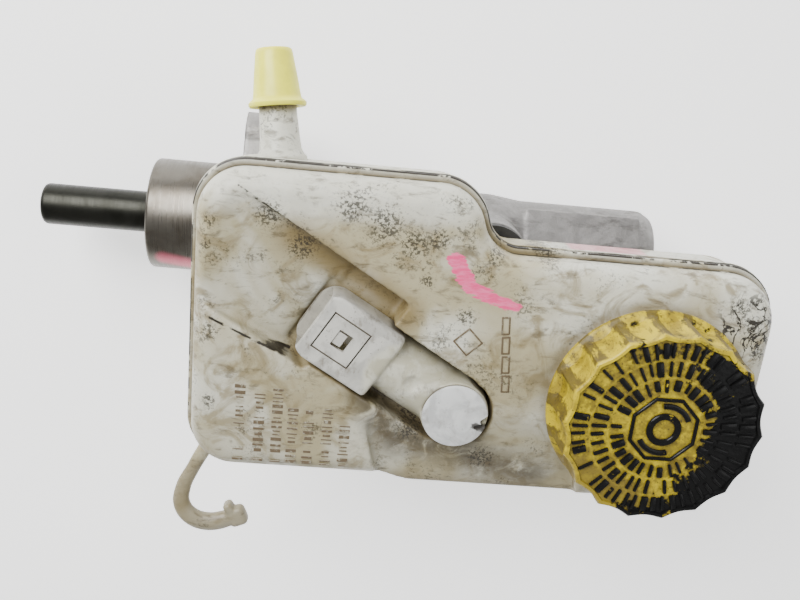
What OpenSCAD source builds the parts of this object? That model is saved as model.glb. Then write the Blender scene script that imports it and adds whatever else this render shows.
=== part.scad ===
// Tandem brake master cylinder with a moulded fluid reservoir on top.
// Origin: centre of the mounting flange's rear face, on the bore axis.
// +X runs along the bore towards the closed nose, +Z up towards the filler cap.

/* [Cylinder] */
// Diameter of the pressure bore
bore_d = 23.81; // [22.2:0.01:25.4]
// Radius of the machined spigot that enters the booster
spigot_r = 19.3; // [19:0.1:20.5]
// Length of the spigot behind the flange
spigot_len = 30.9; // [29:0.1:34]
// Outside radius of the cast barrel
barrel_r = 17; // [16.5:0.1:18]
// Outside radius of the slimmer nose
nose_r = 15.5; // [15:0.1:16.5]
// Distance from the flange face to the closed end
nose_end = 148; // [147:0.5:152]
// Distance between the two flange stud holes
stud_pitch = 60; // [56:0.5:66]
// Radius of a flange stud hole
stud_hole_r = 4.5; // [4:0.1:5]
// Thickness of the mounting flange
flange_t = 12; // [9:0.5:13]
// Tapping radius of a pipe outlet
outlet_r = 5.5; // [4.5:0.1:6]

/* [Pistons] */
// Radius of the steel stem that stands out of the spigot
stem_r = 7.2; // [6.5:0.1:7.5]
// Length of the stem behind the flange face
stem_reach = 69.3; // [60:0.1:75]
// Full travel of the primary piston
primary_travel = 30; // [20:1:30]
// Radial clearance between a piston and the bore
piston_gap = 0.05; // [0.02:0.01:0.08]
// Front face of the primary piston at rest
primary_front = 25; // [25:0.5:26]
// Rear face of the secondary piston at rest
secondary_rear = 55; // [55:0.5:55.5]
// Front face of the secondary piston at rest
secondary_front = 93.5; // [93.5:0.1:94]

/* [Reservoir] */
// Height of the reservoir floor above the bore axis
floor_z = 28; // [27:0.5:29]
// Height of the welded seam between the two shells
seam_z = 48; // [47.5:0.5:48.5]
// Height of the reservoir's flat top
top_z = 60; // [60:0.5:61]
// Wall thickness of both shells
wall = 2.5; // [2:0.1:2.8]
// How far the weld flange stands out from the walls
rim_out = 2.2; // [1.5:0.1:2.5]
// Thickness of each half of the weld flange
rim_t = 1.6; // [1.2:0.1:2]
// Radius of the rounded shoulder of the upper shell
shoulder_r = 7; // [5:0.5:8]

/* [Filler] */
// Outside radius of the filler cap
cap_r = 32; // [31:0.1:33]
// Height of the cap's top face
cap_top = 81.2; // [81:0.1:82]
// Number of grip flutes round the cap
flute_count = 18; // [12:1:24]
// Outside radius of the threaded neck
neck_r = 25.5; // [25:0.1:25.6]
// Pitch of the cap thread
thread_pitch = 6; // [5.5:0.5:6]

/* [Level sensor] */
// Radius of the sensor's round boss
boss_r = 10.7; // [10.5:0.1:11]
// Direction of the connector mouth, from the boss
connector_angle = 149; // [147:1:151]
// Outside width of the connector
connector_w = 23; // [22:0.5:24]
// Height of the connector's top face
connector_top = 62; // [61.5:0.5:63]

/* [Hidden] */

$fn = 64;
eps = 0.01;
bore_r = bore_d / 2;
bore_end = nose_end - 6;
piston_r = bore_r - piston_gap;
cup_r = bore_r - 0.03;
cup_root_r = 8.8;
cup_groove = 5.2;
// The screw's head is free to run inside the sleeve for half the primary travel
sleeve_back = primary_front + primary_travel / 2 + 1;
screw_head = sleeve_back + 2;

// Spigot counterbore, with the guide parts stacked in it
guide_r = 15.5;
guide_front = -7;
ring_x = -30;
washer_x = -28.2;
seal_x = -26;
bush_x = -19.8;
primary_back = -6.4;
lead_cup_x = primary_front - 6.7;

// Feed points below the two reservoir grommets
rear_feed = 18;
front_feed = 86;
pocket_floor = 14.5;
pocket_top = 26;
grommet_r = 10;
stub_r = 6;

// Pipe outlets on the far side of the casting
rear_outlet = 52;
front_outlet = 130;
outlet_face = -26;
outlet_depth = 12;

// Lug and pin that hold the reservoir down
lug_x = 52;
lug_z = 21.5;
pin_r = 2;

// Grooves of the secondary piston, its slot and its stop pin
rear_cup_x = secondary_rear + 2;
front_cup_x = secondary_front - 6.5;
stop_x = 81.5;
stop_r = 1.5;
slot_back = 63.5;
slot_front = 83.5;

// Reservoir outline at the seam: x, y and corner radius, clockwise from above
seam_corners = [
    [-10, 31.7, 17], [76, 31.7, 16], [83, 11.5, 10], [175, 11.5, 18],
    [175, -72, 34], [61, -72, 3], [54, -69, 3], [-10, -69, 16]
];

// Hose port: root on the lower shell's wall, and its outward direction
port_root = [15.05, 30.1, 38];
port_dir = [-0.14, 0.97, -0.19];
port_len = 26;
port_bore_r = 3.2;

boss = [75.2, -41.7];
seat_z = 50;
well_r = 4.2;
well_end = 31;
ramp_x = 49;
pocket_x = 33;
shelf_y = -42;
cap_centre = [134.6, -32.5];
neck_in_r = 22.5;
neck_top = 76;
strainer_floor = 48;
cap_bore_r = 28.2;
skirt_z = 63.4;
lid_t = 2.2;
thread_low = 66.5;
thread_turns = 1.2;

// ---------- helpers ----------

// Rounded corner at b between neighbours a and c, as n + 1 points
function corner_arc(a, b, c, r, n) =
    let (
        u = (a - b) / norm(a - b),
        v = (c - b) / norm(c - b),
        half = acos(u * v) / 2,
        centre = b + (u + v) / norm(u + v) * r / sin(half),
        from = b + u * r / tan(half) - centre,
        to = b + v * r / tan(half) - centre,
        a0 = atan2(from.y, from.x),
        turn = atan2(to.y, to.x) - a0,
        sweep = turn > 180 ? turn - 360 : turn < -180 ? turn + 360 : turn
    )
    [for (i = [0:n]) centre + r * [cos(a0 + sweep * i / n), sin(a0 + sweep * i / n)]];

// Closed outline from [x, y, radius] corners
function rounded(corners, n = 8) =
    let (m = len(corners))
    [for (i = [0:m - 1], p = corner_arc(
        xy(corners[(i + m - 1) % m]), xy(corners[i]), xy(corners[(i + 1) % m]),
        corners[i].z, n)) p];

function xy(p) = [p.x, p.y];

// Grip outline of the cap: shallow scoops between pointed ridges
function fluted(ridge_r, depth, count, n = 6) =
    [for (i = [0:count - 1], k = [0:n - 1])
        let (a = (i + k / n) * 360 / count, r = ridge_r - depth * sin(180 * k / n))
        r * [cos(a), sin(a)]];

// Solid swept along a helix about Z from an outline of [radius, height] points
module helix(outline, pitch, turns, steps) {
    n = len(outline);
    last = round(turns * steps);
    points = [for (i = [0:last], p = outline)
        let (a = 360 * i / steps) [p.x * cos(a), p.x * sin(a), p.y + pitch * i / steps]];
    sides = [for (i = [0:last - 1], j = [0:n - 1])
        [i * n + j, i * n + (j + 1) % n, (i + 1) * n + (j + 1) % n, (i + 1) * n + j]];
    back = [for (j = [n - 1:-1:0]) j];
    front = [for (j = [0:n - 1]) last * n + j];
    polyhedron(points, concat(sides, [back, front]));
}

// Coil spring along X
module coil_spring(x0, x1, mean_r, wire_r, turns) {
    outline = [for (k = [0:5]) [mean_r + wire_r * cos(60 * k), wire_r * sin(60 * k)]];
    pitch = (x1 - x0 - 2 * wire_r) / turns;
    translate([x0 + wire_r, 0, 0]) rotate([0, 90, 0]) helix(outline, pitch, turns, 18);
}

// Profile of [x, radius] points turned about the bore axis
module turned(profile) {
    rotate([0, 90, 0]) rotate_extrude($fn = 96) polygon([for (p = profile) [p.y, p.x]]);
}

module rod_x(x0, x1, r) {
    translate([x0, 0, 0]) rotate([0, 90, 0]) cylinder(h = x1 - x0, r = r);
}

module rod_y(y0, y1, r) {
    translate([0, y1, 0]) rotate([90, 0, 0]) cylinder(h = y1 - y0, r = r);
}

module rod_z(z0, z1, r) {
    translate([0, 0, z0]) cylinder(h = z1 - z0, r = r);
}

module ring_x(x0, x1, outer, inner) {
    difference() {
        rod_x(x0, x1, outer);
        rod_x(x0 - 1, x1 + 1, inner);
    }
}

module ring_z(z0, z1, outer, inner) {
    difference() {
        rod_z(z0, z1, outer);
        rod_z(z0 - 1, z1 + 1, inner);
    }
}

// Turns +Z onto a direction
module along(dir) {
    rotate([0, acos(dir.z / norm(dir)), atan2(dir.y, dir.x)]) children();
}

// Local frame of the sensor: origin at the boss, +X towards the connector mouth
module at_sensor() {
    translate([boss.x, boss.y, 0]) rotate([0, 0, connector_angle]) children();
}

module at_cap() {
    translate([cap_centre.x, cap_centre.y, 0]) children();
}

// ---------- cylinder ----------

module flange_outline() {
    ear = stud_pitch / 2;
    big = 23;
    small = 8.5;
    tangent = acos((big - small) / ear);
    circle(r = big);
    for (side = [-1, 1]) {
        translate([side * ear, 0]) circle(r = small);
        polygon([for (c = [[0, big, 1], [ear, small, 1], [ear, small, -1], [0, big, -1]])
            [side * (c.x + c.y * cos(tangent)), c.z * c.y * sin(tangent)]]);
    }
}

module casting() {
    turned([
        [-spigot_len, 0], [-spigot_len, spigot_r - 1.2], [-spigot_len + 0.4, spigot_r - 0.4],
        [-spigot_len + 1.2, spigot_r], [flange_t / 2, spigot_r], [flange_t + 6, barrel_r],
        [88, barrel_r], [98, nose_r], [nose_end - 6, nose_r], [nose_end - 2, nose_r - 2],
        [nose_end, nose_r - 6], [nose_end, 0]
    ]);
    rotate([90, 0, 90]) linear_extrude(flange_t) flange_outline();
    for (x = [rear_feed, front_feed]) translate([x, 0, 0]) rod_z(0, pocket_top, 13);
    for (x = [rear_outlet, front_outlet])
        translate([x, 0, 0]) rod_y(outlet_face, 0, 9);
    translate([lug_x - 5, -4, 0]) cube([10, 8, lug_z + 4.5]);
    // Flat cast panel on the nose, with plain bars for its raised marks
    rotate([55, 0, 0]) translate([100, nose_r - 4, -8]) {
        cube([41, 4.3, 16]);
        for (k = [0:4]) translate([4.6 + 7.5 * k, 4, 2]) cube([3.5, 0.9, 7]);
    }
}

module cylinder_body() {
    color("silver") difference() {
        casting();
        rod_x(-spigot_len - 1, guide_front, guide_r);
        rod_x(guide_front - 1, bore_end, bore_r);
        rod_x(ring_x - 0.1, ring_x + 1.5, guide_r + 1.3);
        ring_x(-4.2, -1.2, spigot_r + 1, spigot_r - 2.7);
        for (side = [-1, 1]) translate([0, side * stud_pitch / 2, 0])
            rod_x(-1, flange_t + 1, stud_hole_r);
        for (x = [rear_feed, front_feed]) {
            translate([x, 0, 0]) rod_z(pocket_floor, pocket_top + 1, grommet_r);
            translate([x - 3, 0, 0]) rod_z(bore_r - 3, pocket_floor + 1, 2);
            translate([x + 6.5, 0, 0]) rod_z(bore_r - 3, pocket_floor + 1, 0.7);
        }
        for (x = [rear_outlet, front_outlet]) translate([x, 0, 0]) {
            rod_y(outlet_face - 1, outlet_face + outlet_depth, outlet_r);
            rod_y(outlet_face, 0, 1.8);
        }
        translate([lug_x, 0, lug_z]) rod_y(-5, 5, pin_r + 0.05);
        translate([stop_x, 0, 0]) rod_z(-barrel_r - 1, 0, stop_r + 0.02);
    }
}

module flange_o_ring() {
    color("dimgray") rotate([0, 90, 0]) translate([0, 0, -2.7])
        rotate_extrude() translate([spigot_r - 1.35, 0]) circle(r = 1.3, $fn = 24);
}

module retaining_ring() {
    color("darkslategray") difference() {
        ring_x(ring_x, ring_x + 1.4, guide_r + 1.2, 13.2);
        translate([ring_x - 1, -3, -guide_r - 2]) cube([4, 6, 6]);
    }
}

module stop_washer() {
    color("gray") ring_x(washer_x, washer_x + 2, guide_r - 0.1, stem_r + 0.3);
}

module stem_seal() {
    color("#202020") difference() {
        ring_x(seal_x, bush_x - 0.2, guide_r - 0.02, stem_r + 0.04);
        ring_x(seal_x - 1, seal_x + 4, 12.5, stem_r + 1.4);
    }
}

module guide_bush() {
    color("ivory") difference() {
        ring_x(bush_x, guide_front, guide_r - 0.02, stem_r + 0.05);
        ring_x(bush_x + 3, guide_front + 1, 12.5, stem_r + 2);
    }
}

// ---------- pistons ----------

module piston_stem() {
    color("dimgray") difference() {
        turned([
            [-stem_reach, 0], [-stem_reach, stem_r - 1.4], [-stem_reach + 0.4, stem_r - 0.4],
            [-stem_reach + 1.4, stem_r], [1.6, stem_r], [1.6, 0]
        ]);
        rod_x(-stem_reach - 1, -stem_reach + 20, 4);
    }
}

module primary_piston() {
    color("lightsteelblue") difference() {
        rod_x(primary_back, primary_front, piston_r);
        rod_x(primary_back - 1, 1.7, stem_r + 0.02);
        ring_x(-4, -4 + cup_groove, bore_r + 1, cup_root_r);
        ring_x(lead_cup_x - 5.9, lead_cup_x - 4.9, bore_r + 1, cup_root_r);
        ring_x(lead_cup_x, lead_cup_x + cup_groove, bore_r + 1, cup_root_r);
        rod_x(primary_front - 11, primary_front + 1, 2.05);
    }
}

// Lip seal that fills a piston groove and opens towards +X or -X
module lip_cup(x0, opens) {
    x1 = x0 + cup_groove - 0.4;
    mouth = opens > 0 ? x1 - 2 : x0 - 1;
    color("#181818") difference() {
        ring_x(x0, x1, cup_r, cup_root_r + 0.02);
        ring_x(mouth, mouth + 3, cup_r - 1, cup_root_r + 0.9);
    }
}

module primary_rear_cup() { lip_cup(-3.8, -1); }
module primary_pressure_cup() { lip_cup(lead_cup_x + 0.2, 1); }

module primary_backing_ring() {
    color("white") ring_x(lead_cup_x - 5.8, lead_cup_x - 5, cup_r - 0.1, cup_root_r + 0.02);
}

module captive_screw() {
    color("gold") {
        rod_x(primary_front - 10, screw_head, 2);
        difference() {
            rod_x(screw_head, screw_head + 2.2, 4);
            translate([screw_head + 1.2, -0.5, -5]) cube([2, 1, 10]);
        }
    }
}

module spring_sleeve() {
    color("burlywood") {
        ring_x(sleeve_back, secondary_rear - 1.4, 6, 4.6);
        ring_x(sleeve_back, sleeve_back + 1.4, 6, 2.4);
        ring_x(secondary_rear - 1.6, secondary_rear, 10, 4.6);
    }
}

module primary_spring() {
    color("slategray") coil_spring(primary_front + 0.1, secondary_rear - 1.7, 8.4, 1.2, 4.5);
}

module secondary_piston() {
    color("lightsteelblue") difference() {
        rod_x(secondary_rear, secondary_front, piston_r);
        rod_x(secondary_rear - 1, secondary_rear + 7, 5);
        ring_x(rear_cup_x, rear_cup_x + cup_groove, bore_r + 1, cup_root_r);
        ring_x(front_cup_x - 2.1, front_cup_x - 1.1, bore_r + 1, cup_root_r);
        ring_x(front_cup_x, front_cup_x + cup_groove, bore_r + 1, cup_root_r);
        translate([slot_back, -stop_r - 0.4, -bore_r - 1])
            cube([slot_front - slot_back, 2 * stop_r + 0.8, 2 * bore_r + 2]);
    }
}

module secondary_rear_cup() { lip_cup(rear_cup_x + 0.2, -1); }
module secondary_pressure_cup() { lip_cup(front_cup_x + 0.2, 1); }

module secondary_backing_ring() {
    color("white") ring_x(front_cup_x - 2, front_cup_x - 1.2, cup_r - 0.1, cup_root_r + 0.02);
}

module secondary_spring_seat() {
    color("burlywood") {
        rod_x(secondary_front, secondary_front + 1.5, 11);
        ring_x(secondary_front + 1, secondary_front + 8, 6.4, 5.2);
    }
}

module secondary_spring() {
    color("slategray") coil_spring(secondary_front + 1.6, bore_end - 0.1, 8.8, 1.3, 6);
}

module stop_pin() {
    color("gray") translate([stop_x, 0, 0]) rod_z(-barrel_r + 0.5, 9, stop_r);
}

// ---------- reservoir mountings ----------

module grommet(x) {
    color("#151515") translate([x, 0, 0]) difference() {
        union() {
            rod_z(pocket_floor + 0.1, pocket_top + 0.1, grommet_r - 0.05);
            rod_z(pocket_top, floor_z - 0.1, 12.5);
        }
        rod_z(pocket_floor, floor_z, stub_r + 0.05);
    }
}

module rear_grommet() { grommet(rear_feed); }
module front_grommet() { grommet(front_feed); }

module reservoir_pin() {
    color("gray") translate([lug_x, 0, lug_z]) {
        rod_y(-12, 12, pin_r);
        rod_y(-14, -12, pin_r + 1.6);
    }
}

// ---------- reservoir ----------

module seam_outline(inset) {
    offset(delta = -inset) polygon(rounded(seam_corners));
}

// Outline of a bar that follows a path, from its half-width at each point
function stroke(path, half) =
    let (
        m = len(path) - 1,
        way = [for (i = [0:m])
            let (d = path[min(i + 1, m)] - path[max(i - 1, 0)]) [-d.y, d.x] / norm(d)]
    )
    concat([for (i = [0:m]) path[i] + half[i] * way[i]],
        [for (i = [m:-1:0]) path[i] - half[i] * way[i]]);

// Retaining hook for a hose: a straight shank, a round bend and a lipped tip
module hook_arm() {
    bend_r = 9.7;
    bend = [-3.4, -91];
    arc = [for (a = [172:16:300]) bend + bend_r * [cos(a), sin(a)]];
    path = concat([[2, -60], [-8.5, -79]], arc, [[6.6, -98.2]]);
    half = [for (i = [0:len(path) - 1]) 2.2 + 1.2 * min(i / 6, 1)];
    color("lightyellow") translate([0, 0, 35.5]) linear_extrude(5) difference() {
        union() {
            polygon(stroke(path, half));
            translate([6.2, -97.8]) circle(r = 3.7);
        }
        seam_outline(rim_out);
    }
}

module hose_nipple() {
    color("lightyellow") difference() {
        translate(port_root) along(port_dir) translate([0, 0, -4])
            cylinder(h = port_len + 4, r1 = 6.3, r2 = 5);
        translate(port_root) along(port_dir) translate([0, 0, -9])
            cylinder(h = port_len + 10, r = port_bore_r);
        translate([0, 0, floor_z - 3]) linear_extrude(seam_z - rim_t - floor_z + 3)
            seam_outline(rim_out);
        translate([0, 0, seam_z - rim_t]) linear_extrude(rim_t) seam_outline(0);
    }
}

module lower_shell_solid() {
    translate([0, 0, floor_z]) linear_extrude(seam_z - floor_z) seam_outline(rim_out);
    translate([0, 0, seam_z - rim_t]) linear_extrude(rim_t) seam_outline(0);
    for (x = [rear_feed, front_feed]) translate([x, 0, 0]) rod_z(pocket_floor + 3, floor_z + 1, stub_r);
    for (y = [-9.2, 5.2]) translate([lug_x - 5, y, lug_z - 5]) cube([10, 4, floor_z - lug_z + 6]);
}

module reservoir_lower_shell() {
    color("lightyellow") difference() {
        lower_shell_solid();
        translate([0, 0, floor_z + wall]) linear_extrude(seam_z) seam_outline(rim_out + wall);
        for (x = [rear_feed, front_feed]) translate([x, 0, 0]) rod_z(pocket_floor, floor_z + 5, 4);
        translate([lug_x, 0, lug_z]) rod_y(-20, 20, pin_r + 0.05);
        translate(port_root) along(port_dir) translate([0, 0, -9]) cylinder(h = port_len + 10, r = port_bore_r);
    }
}

// Outer or inner form of the upper shell, rounded into its top
module dome(inset, top) {
    steps = 4;
    start = top - shoulder_r;
    translate([0, 0, seam_z]) linear_extrude(start - seam_z) seam_outline(inset);
    for (i = [0:steps - 1]) {
        a = 90 * i / steps;
        z = start + shoulder_r * sin(a);
        next = start + shoulder_r * sin(90 * (i + 1) / steps);
        translate([0, 0, z - eps]) linear_extrude(next - z + eps)
            seam_outline(inset + shoulder_r * (1 - cos(90 * (i + 0.5) / steps)));
    }
}

// Hollows in the top face, grown by g for the shell's inner form
module top_hollows(g) {
    at_sensor() {
        // Seat of the sensor housing
        translate([0, -12.5 - g, seat_z - g]) cube([56.4, 25 + 2 * g, 20]);
        rod_z(seat_z - g, seat_z + 20, 12.5 + g);
        // Ramp that the mating plug slides in along, and the flat pocket at its foot
        translate([ramp_x, -20.5 - g, seat_z - g]) rotate([0, -12.2, 0]) cube([72, 35.5 + 2 * g, 30]);
        translate([pocket_x - g, -20.5 - g, seat_z - g]) cube([ramp_x - pocket_x + g, 20, 20]);
    }
    // Sloping shelf along the near edge
    translate([0, shelf_y, top_z - g]) rotate([12, 0, 0]) linear_extrude(20) offset(delta = g)
        polygon([[46, 0], [113, 0], [126, -60], [62, -60]]);
}

module reservoir_upper_shell() {
    color("lightyellow") {
        difference() {
            union() {
                dome(rim_out, top_z);
                translate([0, 0, seam_z]) linear_extrude(rim_t) seam_outline(0);
            }
            top_hollows(0);
            difference() {
                translate([0, 0, -eps]) dome(rim_out + wall, top_z - wall);
                top_hollows(wall);
            }
            translate([boss.x, boss.y, 0]) rod_z(seam_z - 3, seat_z + 1, well_r + 0.1);
            at_cap() {
                rod_z(seam_z, top_z + 1, neck_in_r);
                rod_z(top_z - wall, top_z + 1, neck_r);
            }
        }
    }
}

module neck_ring() {
    color("lightyellow") at_cap() {
        ring_z(top_z - wall, neck_top, neck_r, neck_in_r);
        ring_z(top_z, top_z + 2.6, neck_r + 2, neck_in_r);
        translate([0, 0, thread_low]) helix(
            [[neck_r - 0.3, -1.1], [neck_r + 1.5, -0.6], [neck_r + 1.5, 0.6], [neck_r - 0.3, 1.1]],
            thread_pitch, thread_turns, 36);
    }
}

module reservoir_baffle() {
    color("whitesmoke") difference() {
        translate([39, -63.8, floor_z + wall]) cube([1.8, 90.4, 16]);
        for (y = [-62, 22]) translate([38, y, floor_z + wall - 1]) cube([4, 8, 5]);
    }
}

// ---------- level sensor ----------

module sensor_housing() {
    half = connector_w / 2;
    color("white") difference() {
        union() {
            at_sensor() {
                translate([27, -half, seat_z]) cube([29, 2 * half, connector_top - seat_z]);
                translate([0, -10, seat_z]) cube([28, 20, 4]);
                translate([0, 0, 51]) intersection() {
                    rod_x(0, 28, 10);
                    translate([-1, -10, -1]) cube([30, 20, 12]);
                }
                rod_z(seat_z, 62, boss_r);
                rod_z(well_end, seat_z + 1, well_r);
            }
        }
        at_sensor() {
            translate([36, -half + 2, seat_z + 2]) cube([30, 2 * half - 4, 8]);
            translate([49, -5, connector_top - 3]) cube([4.5, 10, 4]);
            for (y = [-3.5, 3.5]) translate([31.9, y - 1.45, 54.95]) cube([5, 2.9, 0.9]);
            rod_z(57.9, 63, 9);
            rod_z(well_end + 1.5, 58, 3);
        }
    }
}

module sensor_end_plug() {
    color("white") at_sensor() {
        rod_z(58, 62.4, 8.9);
        rod_z(55, 58.5, 2.8);
    }
}

module reed_switch() {
    color("lightgreen") at_sensor() {
        rod_z(36, 49, 1.3);
        rod_z(33.5, 53, 0.4);
    }
}

module contact_pins() {
    color("goldenrod") at_sensor() for (y = [-3.5, 3.5])
        translate([32, y - 1.4, 55]) cube([15, 2.8, 0.8]);
}

module float() {
    color("orange") at_sensor() difference() {
        ring_z(31, 39, 10, well_r + 0.5);
        ring_z(34.9, 40, 8.1, 5.9);
    }
}

module float_magnet() {
    color("dimgray") at_sensor() ring_z(35, 38.5, 8, 6);
}

// ---------- filler ----------

module filler_strainer() {
    color("white") at_cap() difference() {
        union() {
            rod_z(neck_top + 0.1, neck_top + 1, neck_r);
            rod_z(strainer_floor, neck_top + 0.5, neck_in_r - 0.2);
        }
        rod_z(strainer_floor + 1.2, neck_top + 2, neck_in_r - 1.4);
        for (a = [0:60:300]) rotate([0, 0, a]) translate([neck_in_r - 5, -5, strainer_floor + 1.4])
            cube([8, 10, top_z - wall - strainer_floor - 1.5]);
    }
}

module cap_seal() {
    color("#151515") at_cap() ring_z(neck_top + 1.3, cap_top - 2.4, neck_r + 1, 20);
}

module filler_cap() {
    color("gold") at_cap() {
        translate([0, 0, cap_top - lid_t]) linear_extrude(lid_t - 0.8)
            polygon(fluted(cap_r - 0.8, 1.3, flute_count));
        translate([0, 0, cap_top - 1]) cylinder(h = 1, r1 = cap_r - 1.6, r2 = cap_r - 2.2);
        ring_z(cap_top - 4.6, cap_top - 2, 18.5, 17);
    }
}

module cap_skirt() {
    color("gold") at_cap() {
        difference() {
            union() {
                rod_z(skirt_z, skirt_z + 2, cap_r);
                translate([0, 0, skirt_z + 1]) linear_extrude(cap_top - lid_t - skirt_z - 1)
                    polygon(fluted(cap_r - 0.8, 1.3, flute_count));
            }
            rod_z(skirt_z - 1, cap_top, cap_bore_r);
        }
        translate([0, 0, thread_low + thread_pitch / 2]) helix(
            [[cap_bore_r - 1.8, -0.6], [cap_bore_r + 0.3, -1.1], [cap_bore_r + 0.3, 1.1], [cap_bore_r - 1.8, 0.6]],
            thread_pitch, 1, 36);
    }
}

module cap_vent_disc() {
    color("dimgray") at_cap() rod_z(cap_top - 4, cap_top - 2.3, 16.8);
}

// ---------- transport plug ----------

module hose_port_plug() {
    color("khaki") translate(port_root) along(port_dir) difference() {
        union() {
            translate([0, 0, 15.6]) cylinder(h = 2, r = 8.8);
            translate([0, 0, 17]) cylinder(h = 16, r1 = 7.6, r2 = 5.6);
        }
        translate([0, 0, 14]) cylinder(h = port_len - 14 + 0.4, r = 5.75);
    }
}

cylinder_body();
flange_o_ring();
retaining_ring();
stop_washer();
stem_seal();
guide_bush();
piston_stem();
primary_piston();
primary_rear_cup();
primary_backing_ring();
primary_pressure_cup();
captive_screw();
spring_sleeve();
primary_spring();
secondary_piston();
secondary_rear_cup();
secondary_backing_ring();
secondary_pressure_cup();
secondary_spring_seat();
secondary_spring();
stop_pin();
rear_grommet();
front_grommet();
reservoir_pin();
reservoir_lower_shell();
hose_nipple();
hook_arm();
reservoir_upper_shell();
neck_ring();
reservoir_baffle();
sensor_housing();
sensor_end_plug();
reed_switch();
contact_pins();
float();
float_magnet();
filler_strainer();
cap_seal();
filler_cap();
cap_skirt();
cap_vent_disc();
hose_port_plug();
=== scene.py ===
"""Looks of the brake master cylinder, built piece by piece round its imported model.

All modelling is done in millimetres in the part's own frame, and each piece is brought to
metres when it is finished. The frame's origin is the centre of the flange's rear face, +X runs
along the bore and +Z up to the filler cap.
"""

import logging
import math
import random
from contextlib import contextmanager
from dataclasses import dataclass, field
from enum import Enum
from typing import Callable, Iterator

import bmesh
import bpy
from mathutils import Matrix, Vector


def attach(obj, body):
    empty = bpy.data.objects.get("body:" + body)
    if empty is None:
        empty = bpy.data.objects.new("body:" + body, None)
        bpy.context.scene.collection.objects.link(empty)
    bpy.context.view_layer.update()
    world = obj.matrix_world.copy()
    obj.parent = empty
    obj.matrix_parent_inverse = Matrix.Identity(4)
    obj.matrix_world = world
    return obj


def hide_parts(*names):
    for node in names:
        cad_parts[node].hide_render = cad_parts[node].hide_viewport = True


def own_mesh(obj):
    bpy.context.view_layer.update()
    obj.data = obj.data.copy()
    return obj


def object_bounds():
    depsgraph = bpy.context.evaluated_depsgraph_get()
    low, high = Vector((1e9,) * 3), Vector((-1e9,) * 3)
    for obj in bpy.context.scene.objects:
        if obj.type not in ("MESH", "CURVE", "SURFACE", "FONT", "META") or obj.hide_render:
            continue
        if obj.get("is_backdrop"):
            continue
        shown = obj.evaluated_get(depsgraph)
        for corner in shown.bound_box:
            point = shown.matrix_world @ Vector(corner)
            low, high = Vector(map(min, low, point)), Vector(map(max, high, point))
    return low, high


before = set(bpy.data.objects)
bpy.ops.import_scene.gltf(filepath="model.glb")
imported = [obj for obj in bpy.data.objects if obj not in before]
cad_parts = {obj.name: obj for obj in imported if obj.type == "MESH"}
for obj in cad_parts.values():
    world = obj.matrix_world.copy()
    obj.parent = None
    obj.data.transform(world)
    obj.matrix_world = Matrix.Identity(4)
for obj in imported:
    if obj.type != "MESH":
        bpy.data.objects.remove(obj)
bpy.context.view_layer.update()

MM = 0.001
SEED = 7
NEAR = 0.01
SHARP = 0.1
Colour = tuple[float, float, float]
Flat = tuple[float, float]
Socket = bpy.types.NodeSocket
Thing = bpy.types.Object
log = logging.getLogger("brake_cylinder")

# Places that several sub-assemblies share
BOSS: Flat = (75.2, -41.7)
BOSS_WAY = 149.0
CAP_AXIS: Flat = (134.6, -32.5)
FLUTES = 18
PORT_ROOT = (15.05, 30.1, 38.0)
PORT_WAY = (-0.14, 0.97, -0.19)
FEEDS = (18.0, 86.0)
PIN_AT = (52.0, 0.0, 21.5)


class Pick(Enum):
    """What an edit-mode selection is made of."""

    VERTS = (True, False, False)
    EDGES = (False, True, False)
    FACES = (False, False, True)


# --------------------------------------------------------------------------- modelling bench


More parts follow.
